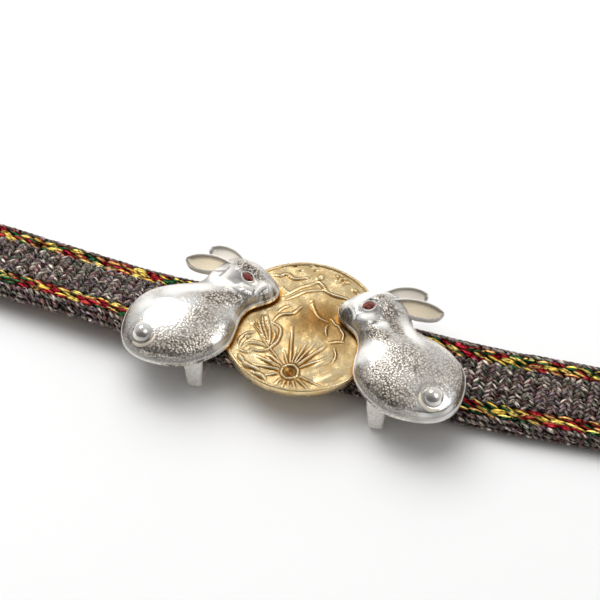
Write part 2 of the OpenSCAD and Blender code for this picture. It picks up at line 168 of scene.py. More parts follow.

# Pale, soft places that are painted highlights
HIGHLIGHT_PLACES = np.array([
    [4.30, 3.20, 0.80, 0.70, 40, 1.0],
    [6.90, 4.80, 2.30, 1.20, 25, 1.5],
    [5.80, 3.60, 1.80, 1.10, 45, 1.5],
    [7.00, 1.60, 1.20, 1.00, 20, 1.6],
    [9.18, 0.85, 0.90, 0.70, 30, 1.3],
    [11.9, 1.20, 2.10, 1.00, -60, 1.4],
    [12.9, -0.20, 2.40, 1.00, -35, 1.1],
    [7.70, -3.50, 2.20, 1.40, 60, 1.6],
    [14.4, -9.20, 1.30, 0.60, 0, 0.7],
    [-10.6, 2.10, 2.00, 1.00, -35, 1.5],
    [-8.90, 1.50, 1.80, 0.80, -35, 1.6],
    [-7.10, 2.00, 1.20, 0.70, 0, 1.3],
    [-10.6, 3.40, 1.80, 1.50, 0, 1.5],
    [-6.98, -2.10, 1.20, 0.90, 0, 1.5],
    [-7.40, -6.30, 1.20, 1.00, 0, 1.0],
    [-12.0, 0.40, 2.60, 1.30, 20, 1.3],
    [-14.4, -0.70, 2.80, 1.40, 25, 1.2],
    [-17.4, -3.20, 1.20, 2.40, -20, 0.8],
    [-5.50, 2.60, 1.10, 1.20, 0, 1.2],
    [-5.50, 1.36, 0.75, 0.24, -42, 2.6],
    [-4.42, 2.36, 0.70, 0.24, -52, 2.4],
    [-3.86, 3.20, 0.50, 0.22, -60, 1.6],
    [-9.60, 3.40, 1.60, 1.20, 0, 0.8],
])

# Dark stippled places of the cast skin
PATINA = np.array([
    [7.90, 4.20, 1.20, 0.70, 30, 0.8],
    [9.30, 3.00, 1.60, 1.00, -60, 0.9],
    [9.70, 1.70, 1.80, 1.10, -60, 1.0],
    [11.0, 0.50, 1.60, 1.00, -40, 1.0],
    [9.20, -1.00, 1.60, 1.30, 40, 1.0],
    [7.60, -0.70, 1.80, 1.30, 20, 1.0],
    [13.0, -3.60, 5.40, 3.00, -20, 0.5],
    [11.6, -8.20, 5.20, 2.40, 0, 0.7],
    [10.4, -6.00, 4.20, 2.60, -40, 0.4],
    [18.0, -3.60, 2.40, 3.60, 0, 0.3],
    [-8.00, 4.50, 2.10, 1.40, -30, 1.0],
    [-6.40, 3.90, 1.70, 1.00, -30, 0.9],
    [-8.20, -0.10, 2.40, 1.10, 0, 1.2],
    [-10.0, -0.90, 2.20, 1.40, 0, 1.0],
    [-10.6, -3.60, 3.00, 2.40, 30, 0.5],
    [-11.6, -8.80, 5.40, 2.20, -10, 0.9],
    [-9.60, -7.00, 4.20, 2.60, 0, 0.6],
])

# Places that were burnished bright
POLISH = np.array([
    [-14.9, -4.0, 4.6, 3.0, 35, 1.0],
    [-7.6, -6.2, 1.6, 1.5, 0, 1.0],
    [-9.7, 2.1, 2.4, 1.0, 20, 0.9],
    [8.3, -3.2, 2.3, 2.0, 60, 1.0],
    [17.2, -8.0, 3.2, 2.2, 40, 1.0],
    [6.8, 1.5, 1.3, 1.0, 0, 0.8],
    [6.2, 4.3, 2.2, 1.0, 20, 0.8],
    [9.0, 0.6, 1.1, 0.9, 0, 0.7],
])

# Ears: root x, y and z, tip x, y and z, half width, tilt in degrees
EARS = {
    "near_ear": np.array([9.10, 3.95, 7.30, 15.80, 5.62, 4.85, 1.30, 12]),
    "far_ear": np.array([8.15, 5.25, 6.60, 13.42, 7.96, 4.65, 1.32, 16]),
}

# Places of the hidden pegs of the right rabbit: x, y
PEGS = ((7.4, 0.8), (6.3, 3.9))

# Width of an ear along its length, from root to tip, as a share of its half width
EAR_WIDTHS = np.array([0.42, 0.58, 0.76, 0.90, 0.98, 1.00, 0.97, 0.87, 0.66, 0.25])

# Ridges that radiate from the moon's flower: direction, start, end, half width, height
RIDGES = np.array([
    [103, 1.1, 6.4, 0.22, 0.26],
    [92, 1.1, 3.6, 0.16, 0.16],
    [80, 1.1, 4.6, 0.20, 0.24],
    [70, 1.1, 5.0, 0.20, 0.26],
    [57, 1.1, 5.6, 0.26, 0.34],
    [40, 1.1, 5.0, 0.20, 0.22],
    [118, 1.1, 3.2, 0.18, 0.18],
    [150, 1.1, 3.6, 0.24, 0.24],
    [165, 1.1, 4.6, 0.28, 0.26],
    [181, 1.1, 4.4, 0.24, 0.22],
    [205, 1.2, 3.0, 0.22, 0.22],
    [240, 1.2, 2.6, 0.22, 0.26],
    [262, 1.2, 2.4, 0.18, 0.26],
    [280, 1.2, 2.3, 0.16, 0.24],
    [300, 1.2, 2.5, 0.20, 0.28],
    [326, 1.2, 3.4, 0.20, 0.24],
    [345, 1.2, 4.6, 0.16, 0.16],
])

# Fine raised lines of the moon's relief: half width, height, then x and y of points along it
RELIEF_LINES = (
    (0.14, 0.22, (-5.09, 6.13, -4.27, 6.21, -3.69, 6.67, -2.7, 6.12, -1.94, 6.37, -1.23, 6.83)),
    (0.12, 0.16, (-3.16, 3.53, -1.7, 5.09, -0.72, 5.84, 0.06, 6.48)),
    (0.12, 0.16, (-2.87, 2.94, -1.95, 3.86, -1, 4.69, 0.06, 5.16, 1.17, 5.44)),
    (0.11, 0.13, (-3.88, 4.82, -3.24, 4.25, -2.71, 4.02)),
    (0.16, 0.24, (0.92, 5.47, 2.19, 5.13, 2.92, 5.03, 3.96, 4.91)),
    (0.16, 0.26, (0.11, 6.49, 1.19, 5.55)),
    (0.14, 0.20, (-3.37, -0.28, -3.04, 0.62, -2.35, 1.1, -1.39, 1.44, -0.87, 2.51)),
    (0.12, 0.16, (-3.19, 1.16, -2.69, 1.88, -2.22, 2.31)),
    (0.10, 0.12, (0.07, 3.83, 0.47, 2.76, 1.5, 1.58, 2.64, 1.25)),
    (0.16, 0.24, (-3.31, -0.48, -2.45, -0.82, -2.05, -1.71, -2.08, -2.73, -2.54, -3.57,
                  -2.93, -4.22, -3.75, -4.61, -4.81, -4.55)),
    (0.10, 0.16, (-5.7, -1.07, -4.61, -2.06, -3.1, -3.65, -2.02, -4.56, -1.02, -5.44)),
    (0.10, 0.16, (-5.49, -0.86, -4.41, -1.94, -2.97, -3.47)),
    (0.12, 0.18, (-4.76, 0.07, -4.23, -1.17, -3.55, -2.28, -3.05, -3.42)),
    (0.10, 0.14, (-5, -0.51, -4.34, -1.77, -3.52, -2.98)),
    (0.12, 0.18, (-3.67, -0.87, -3.29, -1.77, -2.98, -3.26)),
    (0.10, 0.12, (-4.47, 0.29, -3.99, -0.37, -3.56, -1.56)),
    (0.12, 0.18, (-2.92, -1.45, -2.6, -2.15, -2.78, -3.35)),
    (0.13, 0.20, (-6.27, -4.32, -6.21, -3.37, -5.78, -2.64, -5.05, -2.33)),
    (0.12, 0.18, (-5.96, -4.59, -5.79, -3.61, -5.4, -3.15)),
    (0.12, 0.18, (-5.67, -4.79, -5.15, -4, -4.12, -3.72, -3.11, -3.8)),
    (0.10, 0.14, (-5.1, -3.56, -4.2, -3.46, -3.35, -3.58)),
    (0.13, 0.18, (-6.06, -5.04, -5.19, -5.22, -4.52, -4.75)),
    (0.12, 0.18, (2.66, 0.74, 2.71, 0.04, 2.96, -0.61)),
    (0.11, 0.16, (2.88, 1.67, 3.43, 1.1, 3.85, 1.07)),
    (0.12, 0.20, (3.85, 1.07, 4.44, 0.37, 4.8, -0.1, 4.86, -0.8)),
    (0.10, 0.14, (3.48, -1.47, 4.31, -1.1, 5.1, -1.02)),
    (0.10, 0.12, (4.23, -2.12, 4.62, -3.14, 4.54, -4.15)),
    (0.10, 0.14, (-3.33, 8.37, -2.95, 8.32, -2.53, 8.51)),
    (0.10, 0.14, (-1.69, 8.52, -1.1, 8.53, -0.45, 8.33)),
)

# Rounded lumps of clouds, buds and seeds: x, y, half length, half width, turn, height
LUMPS = np.array([
    [-5.50, -6.10, 0.70, 0.40, -40, 0.26],
    [-4.60, -6.75, 0.80, 0.45, -30, 0.28],
    [-3.80, -6.90, 1.00, 0.35, -15, 0.20],
    [-2.70, -7.80, 0.90, 0.40, -20, 0.28],
    [-3.70, -7.60, 0.60, 0.35, -25, 0.20],
    [-2.30, -5.50, 0.90, 0.25, -30, 0.14],
    [-5.60, -3.10, 0.45, 0.35, 30, 0.20],
    [0.20, 7.20, 0.55, 0.40, 60, 0.22],
    [4.80, -5.80, 2.20, 0.80, 40, 0.12],
    [3.60, -4.20, 1.80, 0.50, 40, 0.08],
    [2.07, 7.82, 0.26, 0.26, 0, 0.20],
    [2.51, 7.60, 0.24, 0.24, 0, 0.20],
    [2.40, 7.25, 0.24, 0.24, 0, 0.18],
    [2.95, 7.75, 0.26, 0.26, 0, 0.20],
    [3.50, 7.30, 0.26, 0.26, 0, 0.20],
    [2.95, 7.05, 0.24, 0.24, 0, 0.18],
    [4.60, 6.30, 0.34, 0.30, 0, 0.24],
    [4.95, 6.00, 0.24, 0.24, 0, 0.18],
    [-3.14, 8.00, 0.24, 0.24, 0, -0.12],
    [-2.48, 7.46, 0.22, 0.22, 0, -0.12],
    [-0.60, 8.00, 0.24, 0.24, 0, -0.10],
])

# Places of the moon where a darker reflection is painted as deeper gold, and a lighter one where
# the strength is below nothing: x, y, half length, half width, turn, strength
GOLD_SHADING = np.array([
    [1.60, 1.40, 5.60, 4.00, 25, 0.42],
    [4.80, -1.60, 3.00, 3.00, 0, 0.20],
    [-5.40, -4.80, 3.60, 2.40, -40, -0.15],
])

# Route of the sash cord's centre line: x, y, z and the roll of the band in degrees
CORD_ROUTE = np.array([
    [-43, 2.30, 1.70, -6], [-38, 1.80, 1.75, -7.5], [-34, 1.40, 1.85, -9], [-30, 1.05, 1.95, -10.5],
    [-26, 0.65, 2.05, -12], [-22, 0.25, 2.15, -12.5], [-18, -0.15, 2.20, -10], [-14.5, -0.45, 2.20, -5],
    [-10.5, -0.65, 2.15, -1], [-5.5, -0.65, 2.15, 0], [0, -0.65, 2.15, 0], [5.5, -0.65, 2.15, 0],
    [10.5, -0.65, 2.15, 1], [14.5, -0.70, 2.05, 3], [19, -0.70, 1.75, 5], [23, -0.60, 1.60, 5],
    [27, -0.40, 1.60, 4.5], [31, -0.15, 1.55, 4], [35, 0.05, 1.50, 3.5], [39, 0.25, 1.50, 3],
])


def row_at(rows: Array, t: Array) -> Array:
    """Smooth row of a table between its rows.

    Each column follows the Catmull-Rom curve through the row before, the two rows beside t
    and the row after.

    Args:
        rows: Table of n rows.
        t: Places along the table, from 0 to n - 1.

    Returns:
        One row for each place.
    """
    last = len(rows) - 1
    i = np.clip(np.floor(t).astype(int), 0, last - 1)
    f = (t - i)[:, None]
    a, b, c, d = (rows[np.clip(i + k, 0, last)] for k in (-1, 0, 1, 2))
    return 0.5 * (2 * b + (c - a) * f + (2 * a - 5 * b + 4 * c - d) * f**2
                  + (3 * b - a - 3 * c + d) * f**3)


def lumps(x: Array, y: Array, table: Array) -> Array:
    """Sum of soft swellings.

    Each is its height times (1 - r squared) squared, where r is 1 on its elliptic rim.

    Args:
        x: Places in X.
        y: Places in Y.
        table: Rows of x, y, half length, half width, turn and height.

    Returns:
        Height at each place.
    """
    total = np.zeros(np.broadcast(x, y).shape)
    for cx, cy, long, wide, turn, rise in table:
        c, s = math.cos(math.radians(turn)), math.sin(math.radians(turn))
        p = (c * (x - cx) + s * (y - cy)) / long
        q = (c * (y - cy) - s * (x - cx)) / wide
        total += rise * np.clip(1 - p * p - q * q, 0, 1) ** 2
    return total


def strokes(x: Array, y: Array, table: Array, joined: bool = False) -> Array:
    """Sum of raised lines, or the highest of them where they are joined.

    Each is its height times (1 - r squared) squared, where r is the distance from the line
    between its two ends over its half width.

    Args:
        x: Places in X.
        y: Places in Y.
        table: Rows of two ends, half width and height.
        joined: Whether lines that meet keep one height.

    Returns:
        Height at each place.
    """
    total = np.zeros(np.broadcast(x, y).shape)
    for ax, ay, bx, by, wide, rise in table:
        dx, dy = bx - ax, by - ay
        k = np.clip(((x - ax) * dx + (y - ay) * dy) / (dx * dx + dy * dy), 0, 1)
        r2 = ((x - ax - k * dx) ** 2 + (y - ay - k * dy) ** 2) / wide**2
        height = rise * np.clip(1 - r2, 0, 1) ** 2
        total = np.maximum(total, height) if joined else total + height
    return total


def segments(lines: tuple, spread: float, steps: int = 3) -> Array:
    """Short straight pieces of smooth lines that grow thinner towards their ends.

    Args:
        lines: Half width, height, and x and y of points along each line.
        spread: Share that the half widths are multiplied by.
        steps: Pieces between two points of a line.

    Returns:
        Rows of two ends, half width and height.
    """
    rows = []
    for wide, rise, points in lines:
        spans = len(points) // 2 - 1
        along = row_at(np.reshape(points, (-1, 2)), np.linspace(0, spans, steps * spans + 1))
        taper = 0.55 + 0.45 * np.sin(math.pi * (np.arange(steps * spans) + 0.5) / (steps * spans))
        rows.append(np.column_stack([along[:-1], along[1:], wide * spread * taper, rise * taper]))
    return np.concatenate(rows)


def smoothstep(x: Array, low: float, high: float) -> Array:
    """Ramp from 0 at low to 1 at high, level at both ends."""
    f = np.clip((x - low) / (high - low), 0, 1)
    return f * f * (3 - 2 * f)


def bell(x: Array, middle: float, width: Array | float) -> Array:
    """Bell curve: e to the minus square of the distance from its middle over its width."""
    return np.exp(-(((x - middle) / width) ** 2))


def straight(line: tuple, x: Array) -> Array:
    """Straight line of a start and a slope: the start plus the slope times x."""
    return line[0] + line[1] * x


def full_turn(count: int) -> Array:
    """Evenly spaced directions round a circle, in radians."""
    return np.linspace(0, 2 * math.pi, count, endpoint=False)


def turning(x: float, y: float, z: float) -> Array:
    """Matrix that turns points about X, then Y, then Z, by angles in radians."""
    turns = [Matrix.Rotation(angle, 3, axis) for angle, axis in ((z, "Z"), (y, "Y"), (x, "X"))]
    return np.array(turns[0] @ turns[1] @ turns[2])


def turned_about(x: Array, y: Array, pivot: tuple, angle: float) -> tuple[Array, Array]:
    """Places turned about a pivot.

    Args:
        x: Places in X.
        y: Places in Y.
        pivot: Place that stays.
        angle: Angle in degrees.

    Returns:
        The places in X and Y.
    """
    c, s = math.cos(math.radians(angle)), math.sin(math.radians(angle))
    dx, dy = x - pivot[0], y - pivot[1]
    return c * dx - s * dy + pivot[0], s * dx + c * dy + pivot[1]


def sections(count: int) -> Array:
    """Smooth sections of the rabbit, evenly spaced along the table's rows."""
    return row_at(SECTIONS, np.linspace(0, len(SECTIONS) - 1, count))


def revolved(profile: Array, count: int) -> Array:
    """Surface of revolution: each point of a profile is carried round the Z axis.

    Args:
        profile: Rows of radius and height.
        count: Points round each circle.

    Returns:
        Points, circle by circle.
    """
    way = full_turn(count)
    radius, height = profile[:, :1], profile[:, 1:]
    circles = np.stack([radius * np.cos(way), radius * np.sin(way), height + 0 * way], axis=-1)
    return circles.reshape(-1, 3)


def scatter(*keys: Array) -> Array:
    """Even random share from 0 to 1 for each combination of keys, from a sine's far digits."""
    mixed = sum(k * w for k, w in zip(keys, (12.9898, 78.233, 37.719)))
    return np.abs(np.sin(mixed) * 43758.5453) % 1.0


def grid_faces(rows: int, ring: int, closed_rows: bool = False) -> list:
    """Faces that join rows of a closed ring of points.

    Args:
        rows: Number of rows.
        ring: Points in each row, the last joined back to the first.
        closed_rows: Whether the last row joins back to the first. Otherwise both end rows are
            closed with one face each.

    Returns:
        Lists of vertex numbers.
    """
    count = rows if closed_rows else rows - 1
    i, j = np.meshgrid(np.arange(count), np.arange(ring), indexing="ij")
    a, b = i * ring + j, i * ring + (j + 1) % ring
    up = ring * ((i + 1) % rows) - ring * i
    faces = np.stack([a, b, b + up, a + up], axis=-1).reshape(-1, 4).tolist()
    if not closed_rows:
        faces.append(list(range(ring))[::-1])
        faces.append(list(range((rows - 1) * ring, rows * ring)))
    return faces


def signed_volume(points: Array, faces: list) -> float:
    """Volume inside the faces: positive when they point outwards.

    Each face is a fan of triangles, and each triangle adds a sixth of the triple product of
    its corners.

    Args:
        points: Vertices, n by 3.
        faces: Lists of vertex numbers.

    Returns:
        The volume.
    """
    quads = np.array([f for f in faces if len(f) == 4])
    a, b, c, d = (points[quads[:, k]] for k in range(4))
    total = np.einsum("ij,ij->", a, np.cross(b, c)) + np.einsum("ij,ij->", a, np.cross(c, d))
    for f in faces:
        if len(f) != 4:
            p = points[f]
            total += np.einsum("j,ij->", p[0], np.cross(p[1:-1], p[2:]))
    return total / 6


def into_scene(name: str, data: bpy.types.ID) -> bpy.types.Object:
    """Makes an object of some data and links it into the scene.

    Args:
        name: Name of the object.
        data: Its mesh, light or camera.

    Returns:
        The object.
    """
    made = bpy.data.objects.new(name, data)
    bpy.context.scene.collection.objects.link(made)
    return made


def make_piece(
    name: str,
    points: Array,
    faces: list,
    finish: "Finish",
    node: str,
    sharp: float = 40.0,
    **marks: Array,
) -> bpy.types.Object:
    """Makes a mesh piece that stands for a solid, and reports it.

    Args:
        name: Name of the piece.
        points: Vertices in millimetres, n by 3.
        faces: Lists of vertex numbers.
        finish: The finish that it takes.
        node: The solid that it stands for.
        sharp: Edges that bend by more than this angle in degrees stay sharp.
        **marks: Values for each vertex, one number or a colour of four, kept as attributes.

    Returns:
        The new object.
    """
    if signed_volume(points, faces) < 0:
        faces = [f[::-1] for f in faces]
    mesh = bpy.data.meshes.new(name)
    mesh.from_pydata((points * MM).tolist(), [], faces)
    mesh.polygons.foreach_set("use_smooth", np.ones(len(mesh.polygons), dtype=bool))
    mesh.set_sharp_from_angle(angle=math.radians(sharp))
    for mark, values in marks.items():
        if values.ndim == 1:
            layer = mesh.attributes.new(mark, "FLOAT", "POINT")
            layer.data.foreach_set("value", values.astype(np.float32))
        else:
            layer = mesh.attributes.new(mark, "FLOAT_COLOR", "POINT")
            layer.data.foreach_set("color", values.astype(np.float32).ravel())
    mesh.materials.append(finish.material())
    mesh.update()
    piece = into_scene(name, mesh)
    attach(piece, BODY)
    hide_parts(node)
    LOG.info("%s: %d points", name, len(points))
    return piece


class Nodes:
    """Short calls that add and join the nodes of one material."""

    def __init__(self, name: str) -> None:
        """Starts a material with its shader.

        Args:
            name: Name of the material.
        """
        self.made = bpy.data.materials.new(name)
        self.made.use_nodes = True
        self.tree = self.made.node_tree
        self.shader = self.tree.nodes["Principled BSDF"]
        self.place = self.add("ShaderNodeTexCoord").outputs["Object"]

    def add(self, kind: str, **values: object) -> bpy.types.Node:
        """Adds a node.

        Args:
            kind: Blender's name of the node's type.
            **values: Fields of the node to set.

        Returns:
            The node.
        """
        node = self.tree.nodes.new(kind)
        for name, value in values.items():
            setattr(node, name, value)
        return node

    def feed(self, target: Socket, source: object) -> None:
        """Joins a socket to an input, or sets the input.

        Args:
            target: The input.
            source: A socket, a number or a colour of three.
        """
        if isinstance(source, Socket):
            self.tree.links.new(source, target)
        else:
            target.default_value = (*source, 1.0) if isinstance(source, tuple) else source

    def dress(self, **inputs: object) -> "Nodes":
        """Feeds the shader's inputs.

        Args:
            **inputs: What each input takes, by its name with a low line for each space.

        Returns:
            These nodes.
        """
        for name, source in inputs.items():
            self.feed(self.shader.inputs[name.replace("_", " ")], source)
        return self

    def mark(self, name: str, output: str = "Fac") -> Socket:
        """Reads an attribute of the mesh, as a number, a Color or a Vector."""
        return self.add("ShaderNodeAttribute", attribute_name=name).outputs[output]

    def grains(self, kind: str, grain: float, stretch: tuple, turn: float) -> bpy.types.Node:
        """Adds a texture with grains of a given size.

        Args:
            kind: Blender's name of the texture's type.
            grain: Width of its grains in millimetres.
            stretch: How many times longer they are along each axis.
            turn: Angle in degrees that they are then turned by about Z.

        Returns:
            The texture's node.
        """
        mapping = self.add("ShaderNodeMapping", vector_type="TEXTURE")
        mapping.inputs["Scale"].default_value = [k * grain * MM for k in stretch]
        mapping.inputs["Rotation"].default_value = (0, 0, math.radians(turn))
        self.feed(mapping.inputs["Vector"], self.place)
        node = self.add(kind)
        self.feed(node.inputs["Scale"], 1.0)
        self.feed(node.inputs["Vector"], mapping.outputs["Vector"])
        return node

    def noise(self, grain: float, detail: float = 2.0, stretch: tuple = (1, 1, 1),
              turn: float = 0.0) -> Socket:
        """Cloudy noise.

        Args:
            grain: Width of its clouds in millimetres.
            detail: How many finer noises are added.
            stretch: How many times longer the clouds are along each axis.
            turn: Angle in degrees that they are then turned by about Z.

        Returns:
            The noise's height.
        """
        node = self.grains("ShaderNodeTexNoise", grain, stretch, turn)
        self.feed(node.inputs["Detail"], detail)
        return node.outputs["Fac"]

    def cells(self, grain: float) -> Socket:
        """Distance from the middle of rounded grains that many millimetres wide."""
        return self.grains("ShaderNodeTexVoronoi", grain, (1, 1, 1), 0.0).outputs["Distance"]

    def ramp(self, source: Socket, low: float, high: float,
             to_low: float = 0.0, to_high: float = 1.0) -> Socket:
        """Maps a range of one value to a range of another, held at both ends.

        Args:
            source: The value.
            low: Start of its range.
            high: End of its range.
            to_low: Result at the start.
            to_high: Result at the end.

        Returns:
            The result.
        """
        node = self.add("ShaderNodeMapRange", clamp=True)
        for socket, value in zip(node.inputs, (source, low, high, to_low, to_high)):
            self.feed(socket, value)
        return node.outputs["Result"]

    def math(self, operation: str, a: object, b: object) -> Socket:
        """Result of a sum, product or other operation.

        Args:
            operation: Blender's name of the operation.
            a: First value, a socket or a number.
            b: Second value, a socket or a number.

        Returns:
            The result.
        """
        node = self.add("ShaderNodeMath", operation=operation)
        self.feed(node.inputs[0], a)
        self.feed(node.inputs[1], b)
        return node.outputs[0]

    def mix(self, share: object, a: object, b: object, blend: str = "MIX") -> Socket:
        """Colour between two, or another blend of them.

        Args:
            share: How much of the second shows, a socket or a number.
            a: First colour, a socket or three numbers.
            b: Second colour, a socket or three numbers.
            blend: Blender's name of the blend.

        Returns:
            The colour.
        """
        node = self.add("ShaderNodeMix", data_type="RGBA", blend_type=blend)
        for socket, value in ((node.inputs["Factor"], share), (node.inputs[6], a), (node.inputs[7], b)):
            self.feed(socket, value)
        return node.outputs[2]

    def bump(self, height: Socket, depth: float,
             under: Socket | None = None) -> Socket:
        """Bump of the surface.

        Args:
            height: Where it rises.
            depth: How deep it is, in millimetres.
            under: Another bump that it lies over.

        Returns:
            The bumped normal.
        """
        node = self.add("ShaderNodeBump")
        self.feed(node.inputs["Strength"], 1.0)
        self.feed(node.inputs["Distance"], depth * MM)
        self.feed(node.inputs["Height"], height)
        if under is not None:
            self.feed(node.inputs["Normal"], under)
        return node.outputs["Normal"]


@dataclass(frozen=True)
class Finish:
    """A finish and the material slot it belongs to."""

    name: str
    slot: Slot

    def material(self) -> bpy.types.Material:
        """The finish's material, made once."""
        return bpy.data.materials.get(self.name) or self.build(Nodes(self.name)).made

    def build(self, nodes: Nodes) -> Nodes:
        """Fills the material and returns its nodes."""
        raise NotImplementedError


@dataclass(frozen=True)
class CastSilver(Finish):
    """Cast silver: sandy grains with dark lines between, and burnished places.

    The first mark raises and darkens the grains, the second darkens smoothly as painted shade, the
    third gives the soft pale surface of rims and straps and of the places that are painted
    highlights, and the fourth the tinted hollows of the ears. Worked holds the width and depth in
    millimetres of the unevenness left by hand.
    """

    marks: ClassVar[tuple] = ("patina", "tarnish", "matte", "cream")
    warm: tuple = (0.99, 0.95, 0.88)
    cool: tuple = (0.95, 0.95, 0.94)
    aged: tuple = (0.85, 0.76, 0.65)
    pit: tuple = (0.08, 0.063, 0.05)
    # Dark colour of the deepest grains and of the painted shade
    dull_and_shade: tuple = (0.24, 0.23, 0.22)
    pale: tuple = (0.89, 0.87, 0.83)
    cream: tuple = (0.80, 0.67, 0.46)
    grain: float = 0.25
    depth: float = 0.06
    worked: tuple = (0.9, 0.045)

    def build(self, nodes: Nodes) -> Nodes:
        """Mixes its colours by four marks, with grains from cells and a fine noise.

        Args:
            nodes: The material's nodes.

        Returns:
            The same nodes.
        """
        patina, tarnish, matte, cream = (nodes.mark(m) for m in self.marks)
        cells = nodes.cells(self.grain)
        fine = nodes.noise(0.8 * self.grain)
        broad = nodes.noise(6.0 * self.grain)
        worn = nodes.math("MULTIPLY", patina, nodes.ramp(broad, 0.35, 0.65, 0.7, 1.0))
        lines = nodes.math("MULTIPLY", nodes.ramp(cells, 0.36, 0.58),
                           nodes.ramp(fine, 0.60, 0.44, 0.45, 1.0))
        clean = nodes.mix(nodes.ramp(broad, 0.4, 0.6), self.warm, self.cool)
        metal = nodes.mix(nodes.ramp(worn, 0.1, 0.9), clean, self.aged)
        deep = nodes.math("MULTIPLY", nodes.ramp(worn, 0.5, 1.0, 0.0, 0.55),
                          nodes.ramp(cells, 0.25, 0.6))
        dulled = nodes.mix(deep, metal, self.dull_and_shade)
        grainy = nodes.mix(nodes.math("MULTIPLY", worn, lines), dulled, self.pit)
        # Pale colour where the matte mark is set: rims, straps, and places that are painted highlights
        soft = nodes.mix(cream, nodes.mix(matte, grainy, self.pale), self.cream)
        rounded = nodes.math("SUBTRACT", nodes.math("MULTIPLY", fine, 0.7), cells)
        height = nodes.math("MULTIPLY", rounded, nodes.ramp(worn, 0.0, 1.0, 0.06, 1.0))
        width, depth = self.worked
        # Painted shade: where the smoothly darkening mark is set, the colour turns to the dark one
        return nodes.dress(
            Base_Color=nodes.mix(tarnish, soft, self.dull_and_shade),
            Roughness=nodes.math("ADD", nodes.ramp(worn, 0.0, 1.0, 0.23, 0.31),
                                 nodes.ramp(matte, 0.0, 1.0, 0.0, 0.34)),
            Metallic=nodes.ramp(matte, 0.0, 1.0, 1.0, 0.1),
            Normal=nodes.bump(height, self.depth, nodes.bump(nodes.noise(width), depth)),
        )


@dataclass(frozen=True)
class GoldPlate(Finish):
    """Gold plate: pale on the crests, deeper in the hollows and brown in the folds, which are painted
    light and shade of the relief, and deep orange with painted shade under the rabbits' edges.

    Grain, satin and beaten each hold a width and a depth in millimetres.
    """

    crest: tuple = (1.0, 0.86, 0.56)
    hollow: tuple = (0.76, 0.53, 0.235)
    # Brown of the painted shade in the folds
    fold: tuple = (0.33, 0.15, 0.03)
    # Deep orange of the painted shade and warm reflection under the rabbits' edges
    shade: tuple = (0.62, 0.29, 0.05)
    grain: tuple = (0.35, 0.014)
    satin: tuple = (0.45, 0.045)
    satin_turn: float = 38.0
    beaten: tuple = (2.2, 0.17)

    def build(self, nodes: Nodes) -> Nodes:
        """Mixes golds by the mark `depth`, 0 on crests and 1 in folds, and by `shaded`.

        Its bumps are the beaten metal, the satin strokes over it and the grain over both.

        Args:
            nodes: The material's nodes.

        Returns:
            The same nodes.
        """
        depth = nodes.mark("depth")
        cloud = nodes.noise(1.2, 3.0)
        share = nodes.math("ADD", nodes.ramp(depth, 0.1, 0.65),
                           nodes.ramp(cloud, 0.35, 0.7, -0.2, 0.3))
        gold = nodes.mix(nodes.ramp(share, 0.0, 1.0), self.crest, self.hollow)
        folded = nodes.mix(nodes.ramp(depth, 0.55, 0.90), gold, self.fold)
        beaten = nodes.bump(nodes.noise(self.beaten[0], 1.5), self.beaten[1])
        brushed = nodes.noise(self.satin[0], 2.0, (7.0, 1.0, 1.0), self.satin_turn)
        satin = nodes.bump(brushed, self.satin[1], beaten)
        return nodes.dress(
            Base_Color=nodes.mix(nodes.mark("shaded"), folded, self.shade),
            Roughness=nodes.ramp(cloud, 0.3, 0.7, 0.22, 0.34),
            Metallic=nodes.ramp(depth, 0.0, 0.40, 0.5, 1.0),
            Normal=nodes.bump(nodes.noise(self.grain[0]), self.grain[1], satin),
        )


@dataclass(frozen=True)
class Garnet(Finish):
    """Polished red-orange stone with cloudy depth."""

    deep: tuple = (0.11, 0.008, 0.005)
    glow: tuple = (0.40, 0.065, 0.03)

    def build(self, nodes: Nodes) -> Nodes:
        """Mixes two reds by a noise with clouds about a third of a millimetre wide."""
        red = nodes.mix(nodes.ramp(nodes.noise(0.3), 0.42, 0.7), self.deep, self.glow)
        return nodes.dress(Base_Color=red, Roughness=0.08, IOR=1.76, Coat_Weight=0.6)


@dataclass(frozen=True)
class BraidedSilk(Finish):
    """Silk yarn: the stitches' colours with painted shade and highlights, broken up by fine strands
    along each stitch that are painted lighter and darker as sheen.

    A strand is that wide in millimetres and drawn out that many times.
    """

    strand: float = 0.2
    drawn: float = 2.6
    depth: float = 0.06

    def build(self, nodes: Nodes) -> Nodes:
        """Multiplies the mark `yarn` by a noise drawn out along the stitch, by the mark `lay`.

        The gloss follows the colour, so that the gaps between the stitches stay dark.

        Args:
            nodes: The material's nodes.

        Returns:
            The same nodes.
        """
        nodes.place = nodes.mark("lay", "Vector")
        fine = nodes.noise(self.strand / MM, 2.0, (self.drawn, 1.0, 1.0))
        # Painted sheen: the strands are brightened up to nearly three times and darkened between
        light = nodes.ramp(fine, 0.38, 0.66, 0.0, 2.8)
        colour = nodes.mix(1.0, nodes.mark("yarn", "Color"), light, "MULTIPLY")
        return nodes.dress(Base_Color=colour, Roughness=0.42,
                           Specular_IOR_Level=nodes.ramp(colour, 0.02, 0.3, 0.0, 0.55),
                           Normal=nodes.bump(fine, self.depth))


SILVER = CastSilver("cast_silver", Slot.SILVER)
GOLD = GoldPlate("gold_plate", Slot.GOLD)
GARNET = Garnet("red_garnet", Slot.GARNET)
SILK = BraidedSilk("braided_silk", Slot.BRAID)


